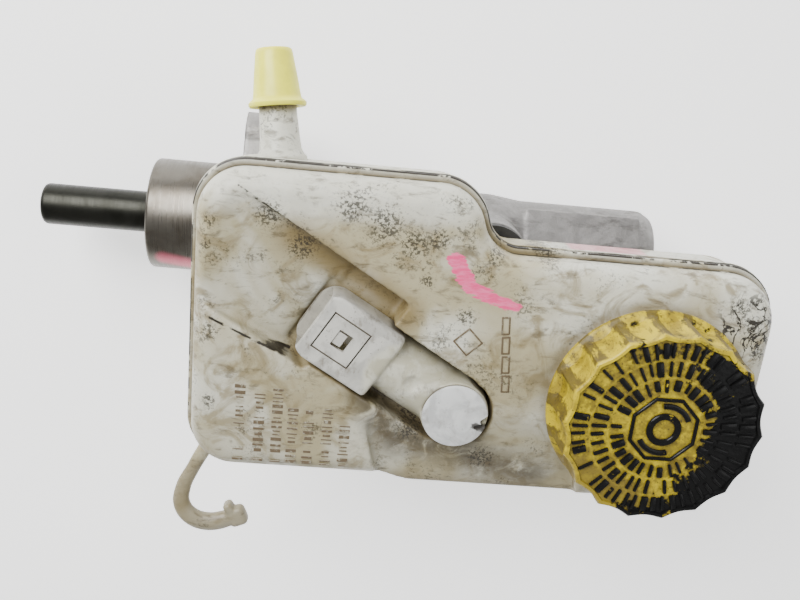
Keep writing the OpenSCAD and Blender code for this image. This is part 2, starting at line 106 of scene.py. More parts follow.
class Bench:
    """Modelling moves, in millimetres. Each leaves one object whose place is in its mesh."""

    @staticmethod
    def clear() -> None:
        """Leaves edit mode and deselects everything."""
        if bpy.context.object and bpy.context.object.mode != "OBJECT":
            bpy.ops.object.mode_set(mode="OBJECT")
        bpy.ops.object.select_all(action="DESELECT")

    @staticmethod
    def hold(obj: Thing) -> Thing:
        """Makes one object the only selected and active one."""
        Bench.clear()
        obj.select_set(True)
        bpy.context.view_layer.objects.active = obj
        return obj

    @staticmethod
    @contextmanager
    def editing(obj: Thing, pick: Pick) -> Iterator[bmesh.types.BMesh]:
        """Edit mode with nothing selected.

        Args:
            obj: the object to edit.
            pick: what selections are made of.
        """
        Bench.hold(obj)
        bpy.ops.object.mode_set(mode="EDIT")
        bpy.context.tool_settings.mesh_select_mode = pick.value
        bpy.ops.mesh.select_all(action="DESELECT")
        yield bmesh.from_edit_mesh(obj.data)
        bpy.ops.object.mode_set(mode="OBJECT")

    @staticmethod
    def choose(obj: Thing, mesh: bmesh.types.BMesh, items: list) -> None:
        """Selects the given faces, edges or vertices in edit mode."""
        for item in items:
            item.select = True
        mesh.select_flush_mode()
        bmesh.update_edit_mesh(obj.data)

    @staticmethod
    def named(name: str) -> Thing:
        """The object that an operator has just made, under its new name."""
        obj = bpy.context.active_object
        obj.name = name
        obj.data.name = name
        return obj

    @staticmethod
    def settle(obj: Thing) -> Thing:
        """Moves an object's place, turn and scale into its mesh."""
        Bench.hold(obj)
        bpy.ops.object.transform_apply(location=True, rotation=True, scale=True)
        return obj

    @staticmethod
    def apply(obj: Thing, kind: str, **settings: object) -> Thing:
        """Adds one modifier and applies it.

        Args:
            obj: the object to change.
            kind: Blender's name for the modifier's type.
            settings: the modifier's own settings.
        Returns:
            The same object.
        """
        Bench.hold(obj)
        modifier = obj.modifiers.new(kind.title(), kind)
        for key, value in settings.items():
            setattr(modifier, key, value)
        bpy.ops.object.modifier_apply(modifier=modifier.name)
        return obj

    @staticmethod
    def block(name: str, low: tuple, high: tuple, edge: float = 0.0, steps: int = 2) -> Thing:
        """A cuboid between two corners, with bevelled edges.

        Args:
            name: the piece's name.
            low: its lowest corner.
            high: its highest corner.
            edge: width of the bevel, or 0 for none.
            steps: segments in the bevel.
        Returns:
            The new object.
        """
        Bench.clear()
        size = [h - l for l, h in zip(low, high)]
        middle = [(l + h) / 2 for l, h in zip(low, high)]
        bpy.ops.mesh.primitive_cube_add(size=1, location=middle, scale=size)
        obj = Bench.settle(Bench.named(name))
        if edge:
            with Bench.editing(obj, Pick.EDGES) as mesh:
                Bench.choose(obj, mesh, list(mesh.edges))
                bpy.ops.mesh.bevel(offset=edge, segments=steps, affect="EDGES")
        return obj

    @staticmethod
    def turned(name: str, profile: list[Flat], steps: int = 64) -> Thing:
        """A solid turned about Z, grown from a disc by extruding and resizing its face.

        Args:
            name: the piece's name.
            profile: (height, radius) points, from the first cap to the last.
            steps: sides of the disc.
        Returns:
            The new object, closed at both ends.
        """
        Bench.clear()
        height, radius = profile[0]
        bpy.ops.mesh.primitive_circle_add(
            vertices=steps, radius=radius, fill_type="NGON", location=(0, 0, height))
        obj = Bench.settle(Bench.named(name))
        with Bench.editing(obj, Pick.FACES):
            bpy.ops.mesh.select_all(action="SELECT")
            for next_height, next_radius in profile[1:]:
                bpy.ops.mesh.extrude_region_move(
                    TRANSFORM_OT_translate={"value": (0, 0, next_height - height)})
                ratio = next_radius / radius
                if abs(ratio - 1) > 1e-6:
                    bpy.ops.transform.resize(
                        value=(ratio, ratio, 1), center_override=(0, 0, next_height))
                height, radius = next_height, next_radius
            bpy.ops.mesh.select_all(action="SELECT")
            bpy.ops.mesh.normals_make_consistent(inside=False)
        return obj

    @staticmethod
    def place(obj: Thing, at: tuple = (0, 0, 0), turn: tuple = (0, 0, 0)) -> Thing:
        """Turns an object by Euler angles in degrees, then moves it."""
        obj.rotation_euler = [math.radians(a) for a in turn]
        obj.location = at
        return Bench.settle(obj)

    @staticmethod
    def aim(obj: Thing, at: Vector, way: Vector) -> Thing:
        """Turns an object's own Z onto a direction and moves its origin to a point."""
        obj.rotation_mode = "QUATERNION"
        obj.rotation_quaternion = Vector(way).to_track_quat("Z", "Y")
        obj.location = at
        Bench.settle(obj)
        obj.rotation_mode = "XYZ"
        return obj

    @staticmethod
    def along_bore(obj: Thing) -> Thing:
        """Turns a solid made about Z onto the bore axis, its height becoming X."""
        return Bench.place(obj, turn=(0, 90, 0))

    @staticmethod
    def bevel(obj: Thing, test: Callable[[Vector, Vector], bool], width: float, steps: int = 4,
              kind: str = "OFFSET") -> Thing:
        """Bevels the sharp edges whose two ends pass a test."""
        with Bench.editing(obj, Pick.EDGES) as mesh:
            chosen = [e for e in mesh.edges if e.calc_face_angle(0.0) > SHARP
                      and test(e.verts[0].co, e.verts[1].co)]
            Bench.choose(obj, mesh, chosen)
            bpy.ops.mesh.bevel(
                offset=width, offset_type=kind, segments=steps, affect="EDGES", clamp_overlap=False)
        return obj

    @staticmethod
    def cut(obj: Thing, *tools: Thing) -> Thing:
        """Subtracts tools, which are used up."""
        for tool in tools:
            Bench.apply(obj, "BOOLEAN", operation="DIFFERENCE", solver="EXACT", object=tool)
            bpy.data.objects.remove(tool)
        return obj

    @staticmethod
    def fuse(obj: Thing, *others: Thing) -> Thing:
        """Adds other closed forms to one, which are used up."""
        for other in others:
            Bench.apply(obj, "BOOLEAN", operation="UNION", solver="EXACT", object=other)
            bpy.data.objects.remove(other)
        return obj

    @staticmethod
    def gather(obj: Thing, *others: Thing) -> Thing:
        """Joins objects into one mesh, without cutting them."""
        Bench.hold(obj)
        for other in others:
            other.select_set(True)
        bpy.ops.object.join()
        return obj

    @staticmethod
    def soften(obj: Thing, voxel: float, rounds: int) -> Thing:
        """Melts overlapping forms into one moulded skin with small fillets.

        Args:
            obj: joined closed forms.
            voxel: size of the new faces.
            rounds: smoothing passes.
        Returns:
            The same object.
        """
        Bench.apply(obj, "REMESH", mode="VOXEL", voxel_size=voxel, use_smooth_shade=True)
        return Bench.apply(obj, "SMOOTH", factor=0.5, iterations=rounds)

    @staticmethod
    def open_through(obj: Thing) -> Thing:
        """Turns a closed solid made about Z into a ring, by bridging its two end faces."""
        with Bench.editing(obj, Pick.FACES) as mesh:
            middles = {face: face.calc_center_median() for face in mesh.faces}
            Bench.choose(obj, mesh, [face for face, middle in middles.items()
                                     if math.hypot(middle.x, middle.y) < NEAR])
            bpy.ops.mesh.delete(type="ONLY_FACE")
        with Bench.editing(obj, Pick.EDGES) as mesh:
            Bench.choose(obj, mesh, [e for e in mesh.edges if e.is_boundary])
            bpy.ops.mesh.bridge_edge_loops()
        return obj

    @staticmethod
    def finish(obj: Thing, body: str, finish: "Finish", slot: str, stands_for: tuple = (),
               crease: float = 35.0) -> Thing:
        """Brings a piece to metres, dresses it and lets it ride.

        Args:
            obj: the modelled piece, in millimetres.
            body: the body that it moves with.
            finish: its material.
            slot: the record's material slot; not used.
            stands_for: CAD nodes that it replaces.
            crease: edges sharper than this many degrees stay sharp.
        Returns:
            The finished piece.
        """
        obj.scale = (MM, MM, MM)
        Bench.settle(obj)
        with Bench.editing(obj, Pick.FACES):
            bpy.ops.mesh.select_all(action="SELECT")
            bpy.ops.mesh.remove_doubles(threshold=1e-7)
            bpy.ops.mesh.normals_make_consistent(inside=False)
        Bench.hold(obj)
        bpy.ops.object.shade_smooth_by_angle(angle=math.radians(crease))
        obj.data.materials.clear()
        obj.data.materials.append(finish.material())
        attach(obj, body)
        if stands_for:
            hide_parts(*stands_for)
        log.info("%s: %d faces on %s", obj.name, len(obj.data.polygons), body)
        return obj


# --------------------------------------------------------------------------- node sheets


class Sheet:
    """A material's node tree, written with short calls. Lengths are in millimetres."""

    def __init__(self, name: str) -> None:
        """Starts a material with one shader and the piece's own coordinates."""
        self.made = bpy.data.materials.new(name)
        self.made.use_nodes = True
        self.tree = self.made.node_tree
        self.tree.nodes.clear()
        out = self.tree.nodes.new("ShaderNodeOutputMaterial")
        self.shader = self.tree.nodes.new("ShaderNodeBsdfPrincipled")
        self.tree.links.new(self.shader.outputs[0], out.inputs[0])
        coordinates = self.tree.nodes.new("ShaderNodeTexCoord").outputs["Object"]
        self.spot = self.vector("SCALE", coordinates, scale=1 / MM)

    def put(self, socket: Socket, value: object) -> None:
        """Links a socket, or sets its value."""
        if isinstance(value, bpy.types.NodeSocket):
            self.tree.links.new(value, socket)
        elif isinstance(value, tuple) and len(value) == 3 and socket.type == "RGBA":
            socket.default_value = (*value, 1)
        else:
            socket.default_value = value

    def vector(self, kind: str, a: object, b: object = None, scale: float = 1.0,
               out: str = "Vector") -> Socket:
        """One vector operation."""
        node = self.tree.nodes.new("ShaderNodeVectorMath")
        node.operation = kind
        self.put(node.inputs[0], a)
        if b is not None:
            self.put(node.inputs[1], b)
        if kind == "SCALE":
            node.inputs["Scale"].default_value = scale
        return node.outputs[out]

    def sum(self, kind: str, a: object, b: object = 0.0, clamp: bool = False) -> Socket:
        """One number operation, such as ADD or MULTIPLY."""
        node = self.tree.nodes.new("ShaderNodeMath")
        node.operation = kind
        node.use_clamp = clamp
        self.put(node.inputs[0], a)
        self.put(node.inputs[1], b)
        return node.outputs[0]

    def band(self, value: Socket, low: float, high: float, a: float = 0.0,
             b: float = 1.0) -> Socket:
        """Eases from a to b as value goes from low to high."""
        node = self.tree.nodes.new("ShaderNodeMapRange")
        node.interpolation_type = "SMOOTHSTEP"
        for key, number in zip((1, 2, 3, 4), (low, high, a, b)):
            node.inputs[key].default_value = number
        self.put(node.inputs[0], value)
        return node.outputs[0]

    def noise(self, size: float, detail: float = 4.0, rough: float = 0.55,
              stretch: tuple = (1, 1, 1), twist: float = 0.0, shift: float = 0.0) -> Socket:
        """Cloudy noise.

        Args:
            size: length of its features.
            detail: octaves.
            rough: weight of the finer octaves.
            stretch: how much longer the features are along each axis.
            twist: distortion.
            shift: moves the pattern, so that two layers differ.
        Returns:
            A number from 0 to 1.
        """
        spread = self.vector("MULTIPLY", self.spot, tuple(1 / (size * s) for s in stretch))
        if shift:
            spread = self.vector("ADD", spread, (shift, shift * 0.7, -shift))
        node = self.tree.nodes.new("ShaderNodeTexNoise")
        node.inputs["Scale"].default_value = 1.0
        node.inputs["Detail"].default_value = detail
        node.inputs["Roughness"].default_value = rough
        node.inputs["Distortion"].default_value = twist
        self.put(node.inputs["Vector"], spread)
        return node.outputs["Fac"]

    def mix(self, share: object, a: object, b: object) -> Socket:
        """Blends two colours."""
        node = self.tree.nodes.new("ShaderNodeMix")
        node.data_type = "RGBA"
        node.clamp_factor = True
        self.put(node.inputs[0], share)
        self.put(node.inputs[6], a)
        self.put(node.inputs[7], b)
        return node.outputs[2]

    def patch(self, x: float, y: float, radius: float, soft: float) -> Socket:
        """1 within a radius of a vertical line at x, y, easing to 0."""
        return self.stroke((x, y), (x + 0.01, y), radius, soft)

    def stroke(self, a: Flat, b: Flat, radius: float, soft: float,
               wobble: Socket | None = None) -> Socket:
        """1 within a radius of a line between two points seen from above, easing to 0.

        Args:
            a: the line's start.
            b: its end.
            radius: half the stroke's width.
            soft: width of the easing.
            wobble: a length added to the distance, for an uneven edge.
        Returns:
            The mask.
        """
        flat = self.vector("MULTIPLY", self.spot, (1, 1, 0))
        start = (a[0], a[1], 0.0)
        way = (b[0] - a[0], b[1] - a[1], 0.0)
        length = way[0] ** 2 + way[1] ** 2
        reach = self.vector("SUBTRACT", flat, start)
        share = self.vector("DOT_PRODUCT", reach, way, out="Value")
        share = self.sum("DIVIDE", share, length, clamp=True)
        near = self.tree.nodes.new("ShaderNodeVectorMath")
        near.operation = "SCALE"
        near.inputs[0].default_value = way
        self.put(near.inputs["Scale"], share)
        apart = self.vector("SUBTRACT", reach, near.outputs[0])
        distance = self.vector("LENGTH", apart, out="Value")
        if wobble is not None:
            distance = self.sum("ADD", distance, wobble)
        return self.band(distance, radius + soft, radius)

    def height(self) -> Socket:
        """Height above the bore axis."""
        node = self.tree.nodes.new("ShaderNodeSeparateXYZ")
        self.put(node.inputs[0], self.spot)
        return node.outputs[2]

    def axis(self, index: int) -> Socket:
        """One coordinate, by its number."""
        node = self.tree.nodes.new("ShaderNodeSeparateXYZ")
        self.put(node.inputs[0], self.spot)
        return node.outputs[index]

    def hollow(self, reach: float) -> Socket:
        """1 in corners and recesses within a reach, 0 on open faces; a colour darkened by it is
        painted shade.
        """
        node = self.tree.nodes.new("ShaderNodeAmbientOcclusion")
        node.samples = 8
        node.inputs["Distance"].default_value = reach * MM
        return self.band(node.outputs["AO"], 0.95, 0.45)

    def largest(self, masks: list[Socket]) -> Socket:
        """The largest of several masks."""
        result = masks[0]
        for mask in masks[1:]:
            result = self.sum("MAXIMUM", result, mask)
        return result

    def bump(self, height: Socket, depth: float, strength: float = 1.0,
             under: Socket | None = None) -> Socket:
        """A normal bent by a height pattern."""
        node = self.tree.nodes.new("ShaderNodeBump")
        node.inputs["Strength"].default_value = strength
        node.inputs["Distance"].default_value = depth * MM
        self.put(node.inputs["Height"], height)
        if under is not None:
            self.put(node.inputs["Normal"], under)
        return node.outputs[0]

    def shade(self, **values: object) -> bpy.types.Material:
        """Sets the shader's sockets, with underscores for spaces, and gives the material."""
        for key, value in values.items():
            self.put(self.shader.inputs[key.replace("_", " ")], value)
        return self.made


@dataclass(frozen=True)
class Finish:
    """A material that is made once and then shared."""

    name: str

    def material(self) -> bpy.types.Material:
        """The material, made on first use."""
        return bpy.data.materials.get(self.title()) or self.build()

    def title(self) -> str:
        """The material's name, apart from those that the frame brings."""
        return f"look_{self.name}"

    def build(self) -> bpy.types.Material:
        """Writes the node tree."""
        raise NotImplementedError


@dataclass(frozen=True)
class NaturalPlastic(Finish):
    """Translucent off-white reservoir plastic with years of brown grime, and painted highlight and
    shade.
    """

    pale: Colour = (0.66, 0.655, 0.56)
    body: Colour = (0.42, 0.375, 0.235)
    tan: Colour = (0.20, 0.150, 0.060)
    # Black of grime, specks, scratches and stains, and of painted shade in the seams.
    soot_and_shade: Colour = (0.022, 0.018, 0.012)
    paint: Colour = (0.80, 0.07, 0.22)
    speckled: tuple = (
        (38, 22, 7), (48, 17, 8), (57, 12, 7), (64, 14, 5), (82, 10, 4), (62, 1, 3), (14, 17, 6),
        (-3, 14, 3), (-4, 7, 2.5), (-2, -20, 4), (-1.5, -43, 3), (24, 7, 6), (75, -9, 4),
        (159, 0, 5), (164, -5, 5), (168, -14, 4), (99, 12, 6), (86, -58, 6), (62, -48, 7),
    )
    scratches: tuple = (
        ((4.9, 25.1), (39, 4.0)), ((-3.4, -15.1), (21.8, -26.6)),
    )

    def build(self) -> bpy.types.Material:
        """Cloudy base with painted highlight and shade, grime and painted shade in hollows and seams,
        speckles, scratches and marking paint, in order.
        """
        s = Sheet(self.title())
        fine = s.noise(0.9, 5, 0.7, shift=2)
        normal = s.bump(fine, 0.06, 0.7, s.bump(s.noise(5, 4, 0.6, shift=7), 0.22))
        base = self.clouds(s)
        base = self.grime(s, base, fine)
        base = self.lines(s, base)
        base = self.markings(s, base)
        rough = s.band(s.noise(7, 3, 0.6, shift=6), 0.3, 0.7, 0.34, 0.55)
        return s.shade(
            Base_Color=base, Roughness=rough, Normal=normal, Subsurface_Weight=0.12,
            Subsurface_Radius=(1.0, 0.85, 0.6), Subsurface_Scale=2.0 * MM)

    def clouds(self, s: Sheet) -> Socket:
        """Drifting clouds, a painted highlight along the far shoulder, painted shade in tan towards
        the near side and near wall, olive with painted shade along the channel wall, and grime with
        painted shade in the hollows.
        """
        broad = s.noise(34, 3, 0.5, twist=0.7)
        cloud = s.noise(13, 5, 0.62, twist=1.3, shift=5)
        base = s.mix(s.band(broad, 0.40, 0.60), self.body, self.pale)
        base = s.mix(s.sum("MULTIPLY", s.band(cloud, 0.47, 0.66), 0.72), base, self.tan)
        # Painted shade: darker in tan towards the near side, away from the light.
        low = s.band(s.sum("ADD", s.axis(1), s.sum("MULTIPLY", broad, 30.0)), 8, -50)
        base = s.mix(s.sum("MULTIPLY", low, 0.50), base, (0.27, 0.235, 0.135))
        # Painted highlight: pale along the far shoulder.
        far = s.band(s.sum("ADD", s.axis(1), s.sum("MULTIPLY", cloud, 16.0)), 24, 31)
        base = s.mix(s.sum("MULTIPLY", far, 0.85), base, self.pale)
        # Painted shade: darker along the near edge and wall.
        near = s.stroke((60, -71), (118, -73), 4, 5, s.sum("MULTIPLY", cloud, 4.0))
        near = s.sum("MAXIMUM", near, s.band(s.axis(1), -73, -78))
        base = s.mix(s.sum("MULTIPLY", near, 0.65), base, (0.19, 0.155, 0.085))
        # Olive tone with painted shade along the channel's upper wall.
        olive = s.stroke((22, 11), (56, -10), 3.0, 9, s.sum("MULTIPLY", cloud, 5.0))
        base = s.mix(s.sum("MULTIPLY", olive, 0.80), base, (0.185, 0.125, 0.035))
        # Grime and painted shade in the hollows.
        return s.mix(s.sum("MULTIPLY", s.hollow(5), 0.80), base, (0.17, 0.125, 0.05))

    def grime(self, s: Sheet, base: Socket, fine: Socket) -> Socket:
        """Dark patches on the shelf, streaky smudges and clustered specks."""
        cloud = s.noise(8, 5, 0.65, twist=1.0, shift=11)
        # Dark patches on the shelf, broken up by clouds.
        shelf = s.largest([
            s.stroke((46, -38), (58, -54), 4, 9, s.sum("MULTIPLY", cloud, 6.0)),
            s.stroke((58, -52), (104, -64), 4, 13, s.sum("MULTIPLY", cloud, 9.0))])
        shelf = s.sum("MULTIPLY", shelf, s.band(cloud, 0.26, 0.55))
        base = s.mix(s.sum("MULTIPLY", shelf, 0.85), base, (0.055, 0.042, 0.022))
        smear = s.noise(3.2, 6, 0.7, stretch=(2.6, 1, 1), twist=0.6, shift=13)
        smudged = s.sum("MULTIPLY", s.band(smear, 0.50, 0.66), s.band(cloud, 0.38, 0.56))
        base = s.mix(s.sum("MULTIPLY", smudged, 0.62), base, (0.085, 0.062, 0.028))
        places = s.largest([s.patch(x, y, r * 0.3, r) for x, y, r in self.speckled])
        loose = s.band(s.noise(11, 4, 0.6, shift=9), 0.50, 0.68)
        cover = s.sum("MAXIMUM", s.sum("MULTIPLY", places, 0.85), s.sum("MULTIPLY", loose, 0.62))
        level = s.sum("ADD", fine, s.sum("MULTIPLY", cover, 0.15))
        specks = s.sum("MULTIPLY", s.band(level, 0.59, 0.66), s.sum("ADD", cover, 0.15))
        return s.mix(s.sum("MULTIPLY", specks, 0.85), base, self.soot_and_shade)

    def lines(self, s: Sheet, base: Socket) -> Socket:
        """Black grime and painted shade in the weld seam, round the foot of the shoulder and on the
        upper rim's edge, and black in long scratches.
        """
        height = s.height()
        gaps = s.band(s.noise(9, 3, 0.6, shift=3), 0.32, 0.50)
        # Grime and painted shade: black lines in the weld seam, at the shoulder's foot and on the
        # upper rim's edge.
        seam = s.band(s.sum("ABSOLUTE", s.sum("SUBTRACT", height, 48.0)), 0.75, 0.35)
        foot = s.band(s.sum("ABSOLUTE", s.sum("SUBTRACT", height, 50.6)), 1.0, 0.45)
        edge = s.band(s.sum("ABSOLUTE", s.sum("SUBTRACT", height, 49.25)), 0.44, 0.38)
        ragged = s.band(s.noise(6, 4, 0.65, shift=15), 0.40, 0.47)
        outside = s.sum("SUBTRACT", 1.0, s.stroke((75, -41), (30, -14), 24, 3))
        foot = s.sum("MULTIPLY", s.sum("MAXIMUM", foot, edge), ragged)
        foot = s.sum("MULTIPLY", foot, outside)
        dark = s.sum("MAXIMUM", s.sum("MULTIPLY", seam, gaps), foot)
        wobble = s.sum("MULTIPLY", s.sum("SUBTRACT", s.noise(3, 3), 0.5), 0.8)
        scratch = s.largest([s.stroke(a, b, 0.20, 0.35, wobble) for a, b in self.scratches])
        broken = s.band(s.noise(4, 3, 0.6, shift=17), 0.38, 0.48)
        dark = s.sum("MAXIMUM", dark, s.sum("MULTIPLY", scratch, broken))
        stain = s.sum("ABSOLUTE", s.sum("SUBTRACT", s.noise(9, 4, 0.6, twist=0.8, shift=19), 0.5))
        stain = s.sum("MULTIPLY", s.band(stain, 0.035, 0.015), s.patch(163, -5, 7, 6))
        return s.mix(s.sum("MAXIMUM", dark, stain), base, self.soot_and_shade)

    def markings(self, s: Sheet, base: Socket) -> Socket:
        """The brushed stroke of paint on top and a faint smear on the wall below."""
        brush = s.noise(1.1, 3, 0.6, stretch=(3, 0.8, 1), shift=4)
        wobble = s.sum("MULTIPLY", s.sum("SUBTRACT", brush, 0.5), 3.2)
        stroke = s.largest([
            s.stroke((69.7, 8.6), (74.9, 0.6), 2.3, 0.4, wobble),
            s.stroke((74.9, 0.6), (82, -2.6), 1.9, 0.4, wobble),
            s.stroke((82, -2.6), (89.6, -4.8), 1.4, 0.5, wobble)])
        stroke = s.sum("MULTIPLY", stroke, s.band(s.height(), 50, 51))
        base = s.mix(stroke, base, s.mix(s.band(brush, 0.35, 0.7), self.paint, (0.86, 0.18, 0.34)))
        smear = s.stroke((113, 9.3), (131, 9.3), 2.5, 2.0, wobble)
        smear = s.sum("MULTIPLY", smear, s.band(s.height(), 47, 45))
        return s.mix(s.sum("MULTIPLY", smear, 0.55), base, (0.75, 0.22, 0.32))


@dataclass(frozen=True)
class WhitePlastic(Finish):
    """Smooth white moulding with handling grime and painted shade in its corners, creamier away from
    its mouth.
    """

    body: Colour = (0.58, 0.57, 0.52)
    cream: Colour = (0.44, 0.42, 0.31)
    # Colour of grime and of painted shade in the corners.
    dirt_and_shade: Colour = (0.075, 0.055, 0.03)
    amount: float = 0.85
    creamy: bool = True

    def build(self) -> bpy.types.Material:
        """Even white and cream, with grime and painted shade in the corners, smears, specks and a
        scorched nick.
        """
        s = Sheet(self.title())
        cloud = s.noise(9, 4, 0.6, twist=0.8)
        base = s.mix(s.band(cloud, 0.38, 0.66), self.body, tuple(c * 0.72 for c in self.body))
        if self.creamy:
            tube = s.stroke((75.2, -41.7), (58, -31.5), 13, 2.5, s.sum("MULTIPLY", cloud, 2.5))
            base = s.mix(tube, base, s.mix(s.band(cloud, 0.4, 0.6), self.cream, (0.58, 0.57, 0.47)))
            # Darker and browner towards the bottom of the housing.
            low = s.band(s.height(), 60.5, 54)
            base = s.mix(s.sum("MULTIPLY", low, 0.35), base, (0.25, 0.21, 0.12))
        # Grime and painted shade in the corners.
        base = s.mix(s.sum("MULTIPLY", s.hollow(1.8), self.amount), base, self.dirt_and_shade)
        smear = s.noise(2.6, 6, 0.7, stretch=(1, 2, 1), shift=4)
        smudged = s.sum("MULTIPLY", s.band(smear, 0.51, 0.67), s.band(cloud, 0.38, 0.58))
        base = s.mix(s.sum("MULTIPLY", smudged, 0.65 * self.amount), base, (0.14, 0.11, 0.07))
        wobble = s.sum("MULTIPLY", s.sum("SUBTRACT", s.noise(1.6, 4, 0.6, shift=3), 0.5), 3.0)
        scorch = s.stroke((81.6, -44.3), (85.5, -45.6), 0.7, 0.8, wobble)
        base = s.mix(s.sum("MULTIPLY", scorch, 0.9), base, (0.03, 0.025, 0.02))
        fine = s.noise(0.7, 5, 0.7, shift=2)
        loose = s.band(s.noise(6, 4, 0.6, shift=9), 0.5, 0.7)
        specks = s.band(s.sum("ADD", fine, s.sum("MULTIPLY", loose, 0.10)), 0.64, 0.72)
        base = s.mix(s.sum("MULTIPLY", specks, 0.8 * self.amount), base, self.dirt_and_shade)
        normal = s.bump(fine, 0.03, 0.6, s.bump(s.noise(3, 4, 0.6), 0.10))
        return s.shade(
            Base_Color=base, Roughness=s.band(cloud, 0.3, 0.7, 0.28, 0.45), Normal=normal,
            Subsurface_Weight=0.10, Subsurface_Radius=(1.0, 0.95, 0.85), Subsurface_Scale=1.5 * MM)


@dataclass(frozen=True)
class CapPlastic(Finish):
    """Yellow cap plastic, dirty in its flutes, with painted shade in its hollows, and soaked black on
    one side.
    """

    body: Colour = (0.56, 0.43, 0.003)
    shade_tone: Colour = (0.31, 0.225, 0.003)
    # Colour of grime in the flutes and rings, and of painted shade in the hollows.
    dirt_and_shade: Colour = (0.075, 0.050, 0.006)
    oil: Colour = (0.006, 0.006, 0.006)
    black_raised: bool = False

    def build(self) -> bpy.types.Material:
        """Yellow with brown grime, grime and painted shade in the hollows, and wet black grime
        spreading from the far lower side.
        """
        s = Sheet(self.title())
        cloud = s.noise(8, 4, 0.6, twist=1.0)
        base = s.mix(s.band(cloud, 0.38, 0.66), self.body, self.shade_tone)
        # Grime and painted shade in the hollows.
        base = s.mix(s.sum("MULTIPLY", s.hollow(3.0), 0.80), base, self.dirt_and_shade)
        streak = s.noise(2.0, 6, 0.7, stretch=(1, 1, 3.5), twist=0.5, shift=5)
        side = s.band(s.height(), 80.0, 79.0)
        place = self.place_in_flute(s)
        lee = s.sum("MAXIMUM", s.band(place, 0.60, 0.90), s.band(place, 0.16, 0.02))
        level = s.sum("ADD", streak, s.sum("MULTIPLY", lee, 0.22))
        streaks = s.sum("MULTIPLY", s.band(level, 0.54, 0.66), side)
        base = s.mix(s.sum("MULTIPLY", streaks, 0.88), base, self.dirt_and_shade)
        base = s.mix(s.sum("MULTIPLY", self.stroke_rings(s), 0.62), base, self.dirt_and_shade)
        fine = s.noise(0.8, 5, 0.7, shift=7)
        specks = s.band(s.sum("ADD", fine, s.sum("MULTIPLY", cloud, 0.22)), 0.68, 0.76)
        base = s.mix(s.sum("MULTIPLY", specks, 0.85), base, (0.035, 0.025, 0.005))
        wobble = s.sum("MULTIPLY", s.sum("SUBTRACT", s.noise(5, 5, 0.65, shift=3), 0.5), 24.0)
        soaked = s.largest([
            s.stroke((146, -12), (160, -25), 4.0, 2.0, wobble),
            s.stroke((159, -25), (158, -42), 10.0, 2.0, wobble),
            s.stroke((158, -42), (148, -56), 7.5, 2.0, wobble),
            s.stroke((146, -58), (126, -63), 2.0, 2.0, wobble),
            s.stroke((121, -10), (140, -5), -1.0, 3.0, wobble)])
        brown = s.sum("MULTIPLY", s.stroke((112, -52), (128, -60), 4, 8, wobble), 0.65)
        base = s.mix(brown, base, (0.17, 0.12, 0.015))
        if self.black_raised:
            worn = s.band(s.noise(2.4, 4, 0.6, shift=8), 0.28, 0.34)
            soaked = s.sum("MAXIMUM", soaked, worn)
        base = s.mix(soaked, base, self.oil)
        rough = s.sum("SUBTRACT", s.band(cloud, 0.3, 0.7, 0.42, 0.55),
                      s.sum("MULTIPLY", soaked, 0.22))
        lumps = s.bump(s.noise(2.2, 5, 0.6, shift=1), 0.16)
        gloss = s.sum("SUBTRACT", 0.5, s.sum("MULTIPLY", soaked, 0.32))
        return s.shade(Base_Color=base, Roughness=rough, Normal=lumps, Specular_IOR_Level=gloss)

    @staticmethod
    def from_axis(s: Sheet) -> tuple[Socket, Socket]:
        """Distances from the cap's axis along X and Y."""
        return tuple(s.sum("SUBTRACT", s.axis(i), CAP_AXIS[i]) for i in (0, 1))

    def stroke_rings(self, s: Sheet) -> Socket:
        """Grime rubbed in around the rings of raised strokes and inside the octagon."""
        x, y = self.from_axis(s)
        square = s.sum("ADD", s.sum("MULTIPLY", x, x), s.sum("MULTIPLY", y, y))
        reach = s.sum("POWER", square, 0.5)
        rings = s.largest([
            s.band(s.sum("ABSOLUTE", s.sum("SUBTRACT", reach, ring)), 3.1, 2.2)
            for ring in (25.0, 19.4, 13.9)])
        rings = s.sum("MAXIMUM", rings, s.band(reach, 10.5, 8.5))
        return s.sum("MULTIPLY", rings, s.band(s.noise(3.0, 6, 0.7, shift=12), 0.38, 0.58))

    def place_in_flute(self, s: Sheet) -> Socket:
        """Goes from 0 to 1 across each grip flute."""
        x, y = self.from_axis(s)
        turn = s.sum("MULTIPLY", s.sum("ARCTAN2", y, x), FLUTES / (2 * math.pi))
        return s.sum("FRACT", s.sum("ADD", turn, float(FLUTES)))


@dataclass(frozen=True)
class SoftPlastic(Finish):
    """Soft, slightly glossy transport plug plastic."""

    body: Colour = (0.96, 0.92, 0.075)

    def build(self) -> bpy.types.Material:
        """Pale yellow, a little cloudy, with painted shade in the corners and fine dust."""
        s = Sheet(self.title())
        cloud = s.noise(6, 3, 0.5)
        base = s.mix(s.band(cloud, 0.35, 0.7), self.body, tuple(c * 0.88 for c in self.body))
        # Painted shade in the corners.
        base = s.mix(s.sum("MULTIPLY", s.hollow(2), 0.4), base, (0.45, 0.36, 0.08))
        dust = s.band(s.noise(0.6, 4, 0.7), 0.66, 0.75)
        base = s.mix(s.sum("MULTIPLY", dust, 0.35), base, (0.30, 0.24, 0.08))
        return s.shade(
            Base_Color=base, Roughness=s.band(cloud, 0.3, 0.7, 0.3, 0.42),
            Normal=s.bump(s.noise(4, 4, 0.5), 0.08), Subsurface_Weight=0.3,
            Subsurface_Radius=(1.0, 0.9, 0.4), Subsurface_Scale=2.0 * MM)


